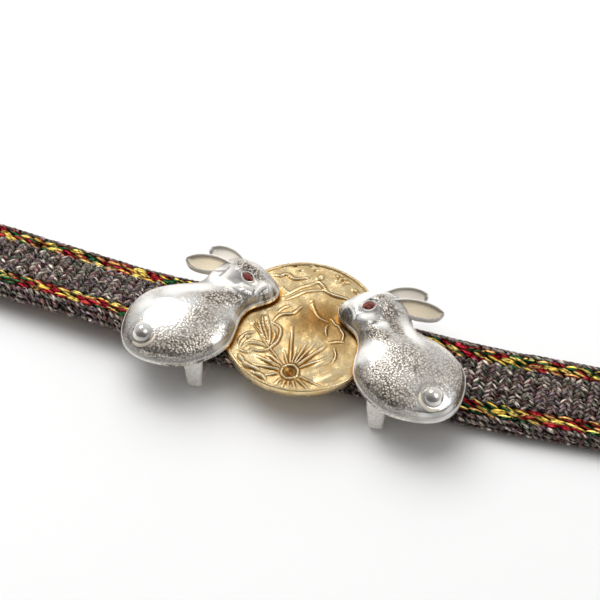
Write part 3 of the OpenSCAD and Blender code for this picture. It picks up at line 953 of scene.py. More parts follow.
@dataclass
class PhotoCamera:
    """Camera at the photograph's angle, aimed at a point on the surface."""

    azimuth: float = 15.5
    elevation: float = 53.0
    distance: float = 210.0
    lens: float = 107.67
    sensor: float = 36.0
    target: tuple = (-2.177, 6.811, 0.0)

    def build(self) -> bpy.types.Object:
        """Makes the scene's camera.

        It stands back from the target along the direction that azimuth and elevation give.

        Returns:
            The camera.
        """
        a, e = math.radians(self.azimuth), math.radians(self.elevation)
        back = Vector((math.sin(a) * math.cos(e), -math.cos(a) * math.cos(e), math.sin(e)))
        right = Vector((math.cos(a), math.sin(a), 0))
        up = back.cross(right)
        data = bpy.data.cameras.new("photo_camera")
        data.lens, data.sensor_width = self.lens, self.sensor
        data.clip_start, data.clip_end = 10 * MM, 10.0
        camera = into_scene("photo_camera", data)
        place = (Vector(self.target) + back * self.distance) * MM
        turn = Matrix((right, up, back)).transposed().to_4x4()
        camera.matrix_world = Matrix.Translation(place) @ turn
        bpy.context.scene.camera = camera
        return camera


@dataclass
class Softbox:
    """Square area light that looks at the ornament.

    A light with seen off lights matte surfaces but isn't mirrored in polished ones. One with
    soft off is only mirrored.
    """

    name: str
    azimuth: float
    elevation: float
    distance: float
    size: float
    power: float
    colour: tuple = (1.0, 1.0, 1.0)
    seen: bool = True
    soft: bool = True

    def build(self) -> bpy.types.Object:
        """Places the light at its direction from the origin: azimuth 0 is +X, 90 is +Y.

        Returns:
            The light.
        """
        a, e = math.radians(self.azimuth), math.radians(self.elevation)
        way = Vector((math.cos(a) * math.cos(e), math.sin(a) * math.cos(e), math.sin(e)))
        data = bpy.data.lights.new(self.name, "AREA")
        data.shape, data.size = "SQUARE", self.size * MM
        data.energy, data.color = self.power, self.colour
        light = into_scene(self.name, data)
        light.visible_glossy, light.visible_diffuse = self.seen, self.soft
        turn = way.to_track_quat("Z", "Y").to_matrix().to_4x4()
        light.matrix_world = Matrix.Translation(way * self.distance * MM) @ turn
        return light


@dataclass
class Studio:
    """White paper under two softboxes, in a room that is pale behind and darker in front.

    Each stop of the room holds a place from its front, 0, to its back, 1, and a colour. A third
    light, never mirrored, brightens the paper and every matte surface.
    """

    floor_reach: float = 1500.0
    floor_colour: tuple = (0.93, 0.93, 0.93)
    room: tuple = (
        (0.15, (0.19, 0.185, 0.18)),
        (0.50, (0.50, 0.495, 0.49)),
        (0.76, (0.54, 0.54, 0.54)),
        (0.92, (0.68, 0.68, 0.68)),
    )
    lights: tuple = (
        Softbox("key_softbox", azimuth=133, elevation=53, distance=400, size=150, power=0.20),
        Softbox("side_softbox", azimuth=-8, elevation=55, distance=420, size=240, power=0.34,
                soft=False),
        Softbox("paper_light", azimuth=125, elevation=58, distance=500, size=500, power=2.2,
                seen=False),
    )

    def world(self) -> bpy.types.World:
        """World whose colour follows the direction from the front of the room to its back.

        Returns:
            The world.
        """
        world = bpy.data.worlds.new("room")
        world.use_nodes = True
        tree = world.node_tree
        place = tree.nodes.new("ShaderNodeTexCoord")
        axes = tree.nodes.new("ShaderNodeSeparateXYZ")
        share = tree.nodes.new("ShaderNodeMapRange")
        share.inputs["From Min"].default_value = -1.0
        ramp = tree.nodes.new("ShaderNodeValToRGB")
        stops = ramp.color_ramp.elements
        for at, colour in self.room[1:-1]:
            stops.new(at)
        for stop, (at, colour) in zip(stops, self.room):
            stop.position, stop.color = at, (*colour, 1)
        tree.links.new(place.outputs["Generated"], axes.inputs["Vector"])
        tree.links.new(axes.outputs["Y"], share.inputs["Value"])
        tree.links.new(share.outputs["Result"], ramp.inputs["Fac"])
        tree.links.new(ramp.outputs["Color"], tree.nodes["Background"].inputs["Color"])
        return world

    def build(self) -> None:
        """Makes the floor, the lights and the room."""
        r = self.floor_reach * MM
        mesh = bpy.data.meshes.new("floor")
        mesh.from_pydata([(-r, -r, 0), (r, -r, 0), (r, r, 0), (-r, r, 0)], [], [(0, 1, 2, 3)])
        paper = Nodes("floor_paper").dress(Base_Color=self.floor_colour, Roughness=0.9)
        mesh.materials.append(paper.made)
        into_scene("floor", mesh)
        for light in self.lights:
            light.build()
        bpy.context.scene.world = self.world()
        bpy.context.scene.view_settings.view_transform = "Standard"


@dataclass(frozen=True)
class StitchZone:
    """One band of stitches along the cord, on both halves of its face or across its middle.

    Stitches lie on a lattice. Its rows run along the cord, and its columns across it. Either
    every second row is shifted along by half a pitch, or every second column across by half a
    row, and then its stitches also lean the other way. Inner and outer bound the zone across
    the face, half long and half wide are half the size of a stitch, and tilt and its spread are
    degrees.
    """

    inner: float
    outer: float
    rows: int
    pitch: float
    half_long: float
    half_wide: float
    tilt: float
    rise: float
    palette: tuple
    seed: int
    plaited: bool = False
    strands: int = 2
    turn_spread: float = 32.0
    side_spread: float = 0.05
    plait_shift: float = 0.05
    # Starts and slopes of what the strand and chance do to a stitch's height, and of what the
    # dome and chance do to its tone; through the dome and the strand it is painted shade at the
    # rim and between strands and a painted highlight on top
    strand_rise: tuple = (0.72, 0.28)
    chance_rise: tuple = (0.8, 0.4)
    dome_shading: tuple = (0.02, 1.1)
    chance_tone: tuple = (0.5, 1.0)

    def field(self, s: Array, v: Array) -> tuple[Array, Array, Array]:
        """Height, colour and lay of the zone's stitches.

        A stitch is half an ellipsoid, turned by the zone's tilt and split along its length
        into strands, each a half sine across. The highest of the nearest stitches shows. Its
        colour darkens towards its rim and between its strands with painted shade, and is lightest
        on its top as a painted highlight, by powers of the dome and of the strand, and chance sets
        its turn, place, rise, tone and yarn.

        Args:
            s: Places along the cord.
            v: Places across the face, negative on the near half.

        Returns:
            Height in millimetres, colour of three, and each place's own coordinates on its
            stitch: along it, across it, and a random number of the stitch.
        """
        width = (self.outer - self.inner) / self.rows
        half = np.ones(s.shape) if self.plaited else np.where(v < 0, -1.0, 1.0)
        depth = (v * half - self.inner) / width
        best = np.zeros(s.shape)
        colour = np.zeros((*s.shape, 3))
        lay = np.zeros((*s.shape, 3))
        shades = np.array(self.palette)
        for dj in (-2, -1, 0, 1) if self.plaited else (-1, 0, 1):
            j = np.floor(depth) + dj
            along = 0.0 if self.plaited else 0.5 * (j % 2)
            for di in (-1, 0, 1):
                i = np.floor(s / self.pitch - along) + di
                odd = (i % 2) * self.plaited
                chance = scatter(i, j * half, np.full(s.shape, 1.0 + self.seed))
                turn = np.radians(self.tilt * (1 - 2 * odd) + self.turn_spread * (chance - 0.5))
                shift = self.plait_shift * self.plaited * (1 - 2 * odd)
                ds = s - (i + 0.5 + along + shift) * self.pitch
                dv = (depth - j - 0.5 - 0.5 * odd) * width * half
                dv = dv + self.side_spread * (chance - 0.5)
                p = (ds * np.cos(turn) + dv * np.sin(turn)) / self.half_long
                q = (dv * np.cos(turn) - ds * np.sin(turn)) / self.half_wide
                dome = np.sqrt(np.clip(1 - p * p - np.abs(q) ** 2.5, 0, 1))
                split = np.clip((q + 1) / 2, 0, 0.999) * self.strands
                strand = np.sin(math.pi * (split % 1.0))
                height = (self.rise * dome * straight(self.strand_rise, strand)
                          * straight(self.chance_rise, chance))
                shows = (height > best) & (j >= 0) & (j + odd * 0.5 < self.rows - 0.4)
                pick = scatter(i * 3.1 + np.floor(split), j * 1.7 * half, chance) * len(shades)
                # Painted shade towards the rim and between the strands, painted highlight on the top
                tone = (straight(self.dome_shading, dome**1.6 * strand**0.9)
                        * straight(self.chance_tone, chance))
                best = np.where(shows, height, best)
                shade = shades[np.floor(pick).astype(int)] * tone[..., None]
                colour = np.where(shows[..., None], shade, colour)
                own = np.stack([p * self.half_long, q * self.half_wide, 7 * chance], axis=-1)
                lay = np.where(shows[..., None], own, lay)
        return best, colour, lay


# Colours of the yarns, of the grey middle and edges and of the bright rows
GREY_YARN = ((0.19, 0.15, 0.12), (0.30, 0.24, 0.20), (0.12, 0.09, 0.075), (0.21, 0.14, 0.17),
             (0.62, 0.52, 0.44), (0.12, 0.14, 0.10), (0.20, 0.09, 0.08), (0.25, 0.20, 0.17))
BRIGHT_YARN = ((0.88, 0.56, 0.05), (0.92, 0.68, 0.14), (0.85, 0.40, 0.10), (0.40, 0.008, 0.02),
               (0.50, 0.01, 0.03), (0.30, 0.02, 0.015), (0.02, 0.11, 0.035), (0.012, 0.07, 0.025),
               (0.86, 0.58, 0.07), (0.10, 0.02, 0.01))


@dataclass
class SashCord:
    """Flat braid: grey herringbone middle, two bright rows and grey roped edges."""

    width: float = 10.2
    thickness: float = 2.5
    inset: float = 0.18
    along_step: float = 0.135
    face_points: int = 120
    back_points: int = 24
    exit_x: float = -17.0
    # Near black between the stitches, painted shade
    gap_shade: float = 0.005
    middle: StitchZone = StitchZone(
        inner=-2.55, outer=2.55, rows=9, pitch=0.70, half_long=0.54, half_wide=0.22, tilt=42,
        rise=0.22, palette=GREY_YARN, seed=1, plaited=True)
    bright: StitchZone = StitchZone(
        inner=2.5, outer=4.1, rows=3, pitch=1.62, half_long=0.90, half_wide=0.31, tilt=-9,
        rise=0.25, palette=BRIGHT_YARN, seed=2)
    edge: StitchZone = StitchZone(
        inner=4.1, outer=6.0, rows=3, pitch=0.72, half_long=0.60, half_wide=0.25, tilt=-28,
        rise=0.24, palette=GREY_YARN, seed=3)

    def centre_line(self) -> Array:
        """Evenly spaced places along the smooth curve through the route.

        Returns:
            Rows of x, y, z and roll.
        """
        fine = row_at(CORD_ROUTE, np.linspace(0, len(CORD_ROUTE) - 1, 4000))
        steps = np.linalg.norm(np.diff(fine[:, :3], axis=0), axis=1)
        run = np.concatenate([[0], np.cumsum(steps)])
        even = np.linspace(0, run[-1], int(run[-1] / self.along_step))
        return np.stack([np.interp(even, run, fine[:, k]) for k in range(4)], axis=1)

    def section(self) -> tuple[Array, Array, Array]:
        """Section of the band: a flat middle between two half ellipses.

        Returns:
            The ring of its points, their outward normals, and each point's place on its face,
            the length of the way over the surface from the face's middle, positive on the far
            side.
        """
        thick = self.thickness / 2 - self.inset
        edge = self.thickness / 2 * 0.95 - self.inset
        half = self.width / 2 - self.inset
        flat = half - edge
        arc = math.pi / 2 * math.sqrt((thick**2 + edge**2) / 2)
        reach = flat + arc

        def face(places: Array, up: float) -> Array:
            """Points of one face: level over the flat middle, then round the edge.

            Args:
                places: Places on the face.
                up: 1 for the upper face and -1 for the lower one.

            Returns:
                Y and Z of the points.
            """
            over = np.clip((np.abs(places) - flat) / arc, 0, 1) * math.pi / 2
            y = np.sign(places) * (np.minimum(np.abs(places), flat) + edge * np.sin(over))
            return np.stack([y, up * thick * np.cos(over)], axis=1)

        top = np.linspace(reach, -reach, self.face_points, endpoint=False)
        low = np.linspace(-reach, reach, self.back_points, endpoint=False)
        ring = np.concatenate([face(top, 1.0), face(low, -1.0)])
        way = np.roll(ring, -1, axis=0) - np.roll(ring, 1, axis=0)
        normal = np.stack([way[:, 1], -way[:, 0]], axis=1)
        normal /= np.linalg.norm(normal, axis=1)[:, None]
        return ring, normal, np.concatenate([top, low])

    def build(self) -> bpy.types.Object:
        """The section is carried along the centre line, rolled with it, and each point is moved
        out along the section's normal by the height of the stitch there.

        Returns:
            The cord.
        """
        line = self.centre_line()
        ring, normal, place = self.section()
        along = np.linspace(0, self.along_step * len(line), len(line))
        s, v = np.meshgrid(along, place, indexing="ij")
        rise = np.zeros(s.shape)
        colour = np.full((*s.shape, 3), self.gap_shade)
        lay = np.zeros((*s.shape, 3))
        for zone in (self.middle, self.bright, self.edge):
            height, shade, own = zone.field(s, v)
            inside = height > rise
            rise = np.where(inside, height, rise)
            colour = np.where(inside[..., None], shade, colour)
            lay = np.where(inside[..., None], own, lay)
        flat = ring + normal * rise[..., None]
        way = np.gradient(line[:, :3], axis=0)
        side = np.stack([-way[:, 1], way[:, 0], 0 * way[:, 0]], axis=1)
        side /= np.linalg.norm(side, axis=1)[:, None]
        roll = np.radians(line[:, 3])[:, None]
        across = flat[..., 0] * np.cos(roll) - flat[..., 1] * np.sin(roll)
        lift = flat[..., 0] * np.sin(roll) + flat[..., 1] * np.cos(roll)
        points = line[:, None, :3] + side[:, None, :] * across[..., None]
        points[..., 2] = np.maximum(points[..., 2] + lift, 0.0)
        yarn, lay = (np.concatenate([k, np.ones((*s.shape, 1))], axis=-1).reshape(-1, 4)
                     for k in (colour, lay))
        faces = grid_faces(len(line), len(place))
        piece = make_piece("braided_sash_cord", points.reshape(-1, 3), faces, SILK, "sash_cord",
                           sharp=60.0, yarn=yarn, lay=lay)
        return piece


@dataclass
class Rabbit:
    """One cast silver rabbit: shell, ears, tail, eye bezel, back loop and pegs."""

    side: Side
    # Place that the set rabbit is turned about, and the angle
    pivot: tuple = (12.5, -2.0)
    set_turn: float = 1.5
    # Shell: its foot, its upright edge with its rows and how far up they go, its wall, the rim's
    # width and the length and power of the slope inside it, then drop and width of the shoulder,
    # and depth, distance past the rim and width of the groove
    shell_z: float = 5.1
    edge_h: float = 0.6
    edge_rows: int = 4
    edge_share: float = 0.8
    wall: float = 0.8
    rim: float = 0.12
    rim_slope: float = 0.35
    rim_power: float = 0.6
    shoulder: tuple = (0.12, 0.14)
    groove: tuple = (0.03, 0.04, 0.07)
    # Hollow behind the shell: its inset and the largest share of the width that it may be, its
    # share of the dome's rise, and the rows of the table that it starts and ends at
    cavity_inset: float = 0.95
    cavity_widest: float = 0.4
    cavity_share: float = 0.93
    cavity_rows: tuple = (1.7, 9.6)
    cavity_fade: float = 0.5
    # Points along the shell, across its dome and across its hollow
    shell_grid: tuple = (280, 150, 36)
    # Strengths of the shell's marks. The pale places and raised lines are painted highlights, and
    # the darkness of the groove, the flank and the collar's foot is painted shade. The rim's fade has
    # a width on each side, and the flank's darkness a start near the head and a slope towards the
    # rump.
    level_patina: float = 0.35
    flank_patina: float = 0.5
    burnish: float = 1.6
    highlight_matte: float = 0.75
    ridge_highlight: float = 0.7
    rim_matte: float = 0.65
    rim_fade: tuple = (0.28, 0.12)
    cavity_matte: float = 0.5
    groove_dark: float = 0.6
    flank_dark: tuple = (0.35, 0.13)
    tail_dark: float = 0.35
    line_full: float = 0.14
    # Where the muzzle's rim pales in X and in -Y, where the flank starts and ends in -Y, and the
    # share across the dome up to which its rim is the moon's side
    muzzle_x: tuple = (4.6, 6.2)
    muzzle_y: tuple = (-1.3, -0.3)
    flank_y: tuple = (1.0, 6.0)
    moon_side: float = -0.2
    # Middle and width of the bells of those marks, from the outline, the rim and the collar
    flank_grains: tuple = (0.45, 0.4)
    flank_shadow: tuple = (0.5, 0.28)
    groove_shadow: tuple = (0.06, 0.09)
    collar_shadow: tuple = (0.0, 0.12)
    # Ears: thickness at the rim and at the edge, depth of the hollow, width of the rim, middle
    # and width of the dark band beside it, start and length of the round tip as shares, and
    # points along, across the top and across the back
    ear_t: float = 0.8
    ear_edge: float = 0.25
    ear_dip: float = 0.42
    ear_rim: float = 0.36
    ear_band: tuple = (0.33, 0.13)
    ear_tip: tuple = (0.93, 0.07)
    ear_blunt: float = 0.02
    ear_grid: tuple = (90, 40, 20)
    # Their marks: dullness and grain as a start and a slope along the band, darkening at the root
    # and at the tip, dark of the crease and of the band, and the cream of each ear's hollow. The
    # darkening at the root and along the crease is painted shade.
    ear_matte: tuple = (0.8, -0.6)
    ear_patina: tuple = (0.15, 0.85)
    ear_end_dark: tuple = (0.2, 0.22)
    ear_crease_shade: float = 0.85
    ear_band_dark: float = 0.3
    ear_cream: ClassVar[dict] = {"near_ear": 0.85, "far_ear": 0.35}
    # Tail ball, with the way that its dark side faces, the strength and limit of the dark and
    # the angle from its poles to its first ring, and its collar, with its turn about X, Y and Z,
    # the height and number of its knots and where its dark side starts. Both dark sides are
    # painted shade.
    tail_at: tuple = (16.42, -7.25)
    tail_r: float = 1.18
    tail_sink: float = 0.08
    tail_shade: tuple = (-0.6, -1.0, -0.15)
    tail_dim: tuple = (0.7, 0.8)
    tail_pole: float = 0.02
    tail_grid: tuple = (40, 64)
    collar_r: float = 0.27
    collar_out: float = 0.22
    collar_rise: float = -0.36
    collar_turn: tuple = (9, 14, 0)
    collar_grid: tuple = (64, 24)
    collar_knots: tuple = (0.012, 7)
    collar_dark: float = 0.35
    collar_matte: float = 0.6
    # Eye and bezel: turn about X, Y and Z in degrees, length and width of the stone
    eye_at: tuple = (7.1, 2.8)
    eye_turn: tuple = (20, -9, 21)
    eye_rise: float = 0.04
    stone: tuple = (1.5, 0.85)
    bezel_w: float = 0.2
    bezel_h: float = 0.12
    bezel_deep: float = 0.6
    bezel_matte: float = 0.35
    bezel_points: int = 80
    # Back loop: where its two legs stand, how far it goes into the shell, width and thickness
    # of the strap, radius of its bends, how square its section is, the foot's width as a share
    # and its height, and points round it and along its legs and bends and its foot
    loop_x: float = 10.5
    loop_y: tuple = (-8.6, 5.4)
    loop_in: float = 0.12
    strap: tuple = (2.25, 0.8)
    strap_bend: float = 1.0
    strap_power: float = 0.7
    foot_share: float = 0.78
    foot_z: float = 0.8
    strap_grid: tuple = (28, 14, 30)
    strap_matte: float = 0.62
    strap_patina: float = 0.6
    # Pegs: top of the moon disc and the gap over it, their radius, how much wider they get, how
    # far their slope goes into the shell, and the height of their two straight ends
    disc_top: float = 4.65
    peg_gap: float = 0.03
    peg_r: float = 0.75
    peg_flare: float = 0.15
    peg_in: float = 0.2
    peg_lip: float = 0.1
    peg_points: int = 24
    pieces: list = field(default_factory=list)

    @property
    def centre(self) -> tuple:
        """The place that the rabbit is turned about."""
        return (self.pivot[0] * self.side.value, self.pivot[1])

    def placed(self, points: Array) -> Array:
        """Points of the right rabbit's own frame, mirrored for the left one and turned as set."""
        x, y = turned_about(points[:, 0] * self.side.value, points[:, 1], self.centre, self.set_turn)
        return np.stack([x, y, points[:, 2]], axis=1)

    def add(self, part: str, points: Array, faces: list, sharp: float = 40.0,
            **marks: Array | float) -> None:
        """Makes a piece of this rabbit in its place.

        Args:
            part: Name of the part.
            points: Vertices in the right rabbit's own frame.
            faces: Lists of vertex numbers.
            sharp: Edges that bend by more than this angle in degrees stay sharp.
            **marks: Marks of the finish, each for every vertex or one for all. Those that
                aren't given are nothing.
        """
        full = {mark: np.broadcast_to(marks.get(mark, 0.0), len(points)) for mark in SILVER.marks}
        name = f"{self.side.name.lower()}_{part}"
        self.pieces.append(make_piece(name, self.placed(points), faces, SILVER, self.side.node,
                                      sharp, **full))

    def dome(self, rows: Array, u: Array) -> tuple[Array, Array, Array]:
        """Places and rise of the dome over its edge.

        The rise is the row's crest, leant outwards, plus the swellings and lines, all times
        (1 - |u| to the 2.3) to the 0.55, which stands steeply at both edges.

        Args:
            rows: Sections, n by 5.
            u: Places across, from -1 at the moon's side to 1 at the rump.

        Returns:
            x, y and rise, n by len(u).
        """
        low, high = rows[:, 1:2], rows[:, 2:3]
        x = (low + high) / 2 + u * (high - low) / 2
        y = rows[:, 0:1] + 0 * x
        flank = np.clip(1 - np.abs(u) ** 2.3, 0, 1) ** 0.55
        rise = flank * (rows[:, 3:4] * (1 + rows[:, 4:5] * u) + lumps(x, y, BUMPS)
                        + lumps(x, y, FACE) + strokes(x, y, LINES, True) + strokes(x, y, FOLDS))
        return x, y, rise

    def cover(self, points: Array, reach: float) -> Array:
        """Shade that the shell casts on what lies under it.

        Args:
            points: Places in the part's frame.
            reach: How far out from the shell's edge it starts, in millimetres.

        Returns:
            0 out there and 1 under the shell's edge.
        """
        x, y = turned_about(points[:, 0], points[:, 1], self.centre, -self.set_turn)
        rows = sections(500)
        far = 99.0
        under = x * self.side.value - np.interp(y, rows[:, 0], rows[:, 1], far, far)
        return smoothstep(under, -reach, -0.05)

    def from_outline(self, x: Array, y: Array) -> Array:
        """Distance of each place from the shell's outline, taken row by row of the grid.

        It is the least distance from the straight pieces that join the sections' ends.

        Args:
            x: Places in X.
            y: Places in Y.

        Returns:
            The distances.
        """
        rows = sections(240)
        line = np.concatenate([rows[:, [1, 0]], rows[::-1, [2, 0]]])
        way = np.roll(line, -1, axis=0) - line
        size = np.maximum((way**2).sum(axis=1), 1e-12)
        out = np.empty(x.shape)
        for i, (xs, ys) in enumerate(zip(x, y)):
            dx, dy = xs[:, None] - line[:, 0], ys[:, None] - line[:, 1]
            k = np.clip((dx * way[:, 0] + dy * way[:, 1]) / size, 0, 1)
            out[i] = np.sqrt(((dx - k * way[:, 0]) ** 2 + (dy - k * way[:, 1]) ** 2).min(axis=1))
        return out

    def on_skin(self, x: float, y: float, rise: float) -> Array:
        """Point over the dome at a place, from the section row that passes through y.

        Args:
            x: Place in X.
            y: Place in Y.
            rise: How far above the dome it is.

        Returns:
            The point.
        """
        rows = sections(6000)
        row = rows[np.argmin(np.abs(rows[:, 0] - y))][None, :]
        u = (2 * x - row[0, 1] - row[0, 2]) / (row[0, 2] - row[0, 1])
        dome = float(self.dome(row, np.array([u]))[2][0, 0])
        return np.array([x, y, self.shell_z + self.edge_h + dome + rise])

    def shell(self) -> None:
        """Hollow shell with an upright edge, a level rim, a groove and the dome inside it.

        Rows run across Y. Each row's ring goes up the edge, over the dome, down the other edge
        and back through the hollow. Within the rim's width of the outline the surface is level
        with rounded shoulders, and the dome rises inside it.
        """
        n, over, under = self.shell_grid
        rows = sections(n)
        low, high = rows[:, 1:2], rows[:, 2:3]
        u = -np.cos(np.linspace(0, math.pi, over))
        x, y, rise = self.dome(rows, u)
        d = self.from_outline(x, y)
        blend = np.clip((d - self.rim) / self.rim_slope, 0, 1) ** self.rim_power
        shoulder = -self.shoulder[0] * np.clip(1 - d / self.shoulder[1], 0, 1) ** 2
        groove = -self.groove[0] * bell(d - self.rim, *self.groove[1:])
        z = self.shell_z + self.edge_h + shoulder + groove + rise * blend
        edge_z = self.shell_z + (self.edge_h - self.shoulder[0]) * np.linspace(
            0, self.edge_share, self.edge_rows)
        left, right = (np.stack(np.broadcast_arrays(end, rows[:, :1], edge_z), axis=-1)
                       for end in (low, high))
        t = np.linspace(0, len(SECTIONS) - 1, n)[:, None]
        first, last = self.cavity_rows
        fade = (smoothstep(t, first, first + self.cavity_fade)
                * (1 - smoothstep(t, last - self.cavity_fade, last)))
        v = np.cos(np.linspace(0, math.pi, under))
        x2, y2, rise2 = self.dome(rows, v)
        inset = np.minimum(self.cavity_inset, self.cavity_widest * (high - low))
        depth = np.maximum(0, self.edge_h + self.cavity_share * rise2 - self.wall) * fade
        inner = np.stack([x2 - v * inset, y2, self.shell_z + depth], axis=-1)
        ring = np.concatenate([left, np.stack([x, y, z], axis=-1), right[:, ::-1], inner], axis=1)
        self.add("shell", ring.reshape(-1, 3), grid_faces(n, ring.shape[1]), sharp=50.0,
                 **self.shell_marks(ring, x, y, d, u))

    def shell_marks(self, ring: Array, x: Array, y: Array, d: Array, u: Array) -> dict:
        """Marks of the shell's finish.

        The tables add places. Bell curves of the distance from the outline dull the rim and paint
        shade into the groove and the flank, which is darker towards the rump, and another paints
        shade at the foot of the tail's collar. Raised lines are pale as painted highlights and sunk
        ones dark with painted shade.

        Args:
            ring: Points of the shell, row by row.
            x: Places of the dome in X.
            y: Places of the dome in Y.
            d: Their distances from the outline.
            u: Places across the dome.

        Returns:
            Patina, matte with the painted highlights, and painted shade for each point.
        """
        points = ring.reshape(-1, 3)
        placed = self.placed(points)
        patina, burnt, pale, dark = (lumps(placed[:, 0], placed[:, 1], k)
                                     for k in (PATINA, POLISH, HIGHLIGHT_PLACES, SHADED_PLACES))
        raised = np.clip(strokes(points[:, 0], points[:, 1], LINES, True) / self.line_full, 0, 1)
        sunk = np.clip(-strokes(points[:, 0], points[:, 1], FOLDS) / self.line_full, 0, 1)
        dome = slice(self.edge_rows, self.edge_rows + x.shape[1])
        rearwards = smoothstep(-y, *self.flank_y)
        patina = self.level_patina + np.minimum(1 - self.level_patina, patina)
        patina = (patina - self.burnish * burnt).reshape(ring.shape[:2])
        patina[:, dome] += self.flank_patina * bell(d, *self.flank_grains) * rearwards
        matte = np.zeros(ring.shape[:2])
        matte[:, dome.stop:] = self.rim_matte
        matte[:, dome.stop + self.edge_rows:] = self.cavity_matte
        muzzle = np.minimum(1, smoothstep(x, *self.muzzle_x) + smoothstep(-y, *self.muzzle_y))
        fade = np.where(u < self.moon_side, *self.rim_fade)
        matte[:, dome] = self.rim_matte * bell(d, 0, fade) * muzzle
        # Painted highlights: the pale places and the raised lines turn matte and pale
        matte = matte.ravel() + self.highlight_matte * pale + self.ridge_highlight * raised
        collar = self.tail_r + self.collar_out + self.collar_r
        off = np.hypot(x - self.tail_at[0], y - self.tail_at[1]) - collar
        # Painted shade in the groove, on the flank and round the collar's foot, then from the table and
        # in the sunk lines, less where highlights are painted
        tarnish = np.zeros(ring.shape[:2])
        tarnish[:, dome] = (self.groove_dark * bell(d - self.rim, *self.groove_shadow)
                            + straight(self.flank_dark, rearwards) * bell(d, *self.flank_shadow)
                            + self.tail_dark * bell(off, *self.collar_shadow))
        tarnish = tarnish.ravel() * (1 - np.minimum(1, pale)) + dark + sunk
        return {"patina": np.clip(patina.ravel(), 0, 1), "matte": np.clip(matte, 0, 0.95),
                "tarnish": np.clip(tarnish, 0, 1)}

    def ear(self, part: str, row: Array, cream: float) -> None:
        """Leaf-shaped ear with a rounded rim round its hollow.

        Sections across the ear are carried from root to tip, as wide as the table says and
        round at the tip. Across the upper side the height rises by a square root to the rim and
        falls by a smooth step into the hollow, and the lower side is gently rounded. The rim is
        dull, with a dark grainy band on the near side of the hollow, and the hollow is tinted,
        darker towards root and tip and darkest along its crease; the darkening along the crease
        and at the root is painted shade.

        Args:
            part: Name of the ear.
            row: Root, tip, half width and tilt.
            cream: How much its hollow is tinted.
        """
        root, run = row[:3], row[3:6] - row[:3]
        long = math.hypot(run[0], run[1])
        n, over, under = self.ear_grid
        f = np.linspace(0, 1, n)[:, None]
        width = row[6] * row_at(EAR_WIDTHS[:, None], f[:, 0] * (len(EAR_WIDTHS) - 1))
        tip, tip_long = self.ear_tip
        round_tip = np.sqrt(np.clip(1 - np.clip((f - tip) / tip_long, 0, 1) ** 2, 0, 1))
        width *= round_tip * (1 - self.ear_blunt) + self.ear_blunt
        q = np.cos(np.linspace(0, math.pi, over))
        low = np.cos(np.linspace(math.pi, 2 * math.pi, under))[1:-1]
        rim = np.minimum(self.ear_rim, 0.45 * width)
        inside = np.minimum((1 - np.abs(q)) * width, 0.8 * (1 - f) * long)
        dip = self.ear_dip * np.minimum(1, 12 * (1 - f))
        hollow = smoothstep(inside / rim, 0.7, 1.5)
        crown = np.sqrt(np.clip(inside / (0.6 * rim), 0, 1))
        z_top = np.minimum(self.ear_edge + (self.ear_t - self.ear_edge) * crown, self.ear_t)
        z_top = z_top - dip * hollow * (1 + 0.2 * (1 - q**2))
        z_low = self.ear_edge * np.abs(low) ** 3 + 0 * f
        across = np.concatenate([q, low]) * width
        height = np.concatenate([z_top, z_low], axis=1) - self.ear_t
        points = np.stack(np.broadcast_arrays(f * long, across, height), axis=-1).reshape(-1, 3)
        turn = turning(math.radians(row[7]), math.atan2(-run[2], long), math.atan2(run[1], run[0]))
        band = bell(inside, *self.ear_band) * smoothstep(-q, 0.0, 0.5)
        soft, band = (np.pad(k, ((0, 0), (0, len(low)))) for k in (hollow, band))
        # Painted shade along the hollow's crease and at its root; the tip and the band darken too
        at_root, at_tip = self.ear_end_dark
        end_dark = at_root * (1 - smoothstep(f, 0.1, 0.5)) + at_tip * smoothstep(f, 0.35, 0.9)
        dark = (self.ear_crease_shade * (4 * soft * (1 - soft)) ** 4 + soft * end_dark
                + self.ear_band_dark * band)
        self.add(part, points @ turn.T + root, grid_faces(n, across.shape[1]), sharp=70.0,
                 matte=straight(self.ear_matte, band).ravel(), cream=cream * soft.ravel(),
                 tarnish=np.clip(dark, 0, 0.95).ravel(),
                 patina=straight(self.ear_patina, band).ravel())

    def tail(self) -> None:
        """Polished tail ball, a surface of revolution, in its soft collar ring.

        The collar is a ring with a round section, whose radius wavers by a sine, and it is
        tilted as the dome is there.
        """
        centre = self.on_skin(*self.tail_at, -self.tail_sink)
        rows, count = self.tail_grid
        up = np.linspace(self.tail_pole, math.pi - self.tail_pole, rows)
        ball = revolved(np.stack([np.sin(up), np.cos(up)], axis=1), count)
        dim, limit = self.tail_dim
        # Painted shade on one side of the ball, towards the front and the head
        shaded = np.clip(dim * (ball @ np.array(self.tail_shade)), 0, limit)
        self.add("tail_ball", ball * self.tail_r + centre, grid_faces(rows, count), tarnish=shaded)
        rows, count = self.collar_grid
        way, a = full_turn(rows)[:, None], full_turn(count)
        swing, knots = self.collar_knots
        radius = (self.tail_r + self.collar_out + self.collar_r * np.cos(a)
                  + swing * np.sin(knots * way))
        lift = self.collar_rise + self.collar_r * np.sin(a) + 0 * way
        collar = np.stack([radius * np.cos(way), radius * np.sin(way), lift], axis=-1)
        points = collar.reshape(-1, 3) @ turning(*np.radians(self.collar_turn)).T + centre
        # Painted shade on the collar's inner side, next to the ball
        inner = np.clip(-np.cos(a) - self.collar_dark, 0, 1) + 0 * way
        self.add("tail_collar", points, grid_faces(rows, count, closed_rows=True),
                 tarnish=inner.ravel(), matte=self.collar_matte, cream=self.collar_matte)

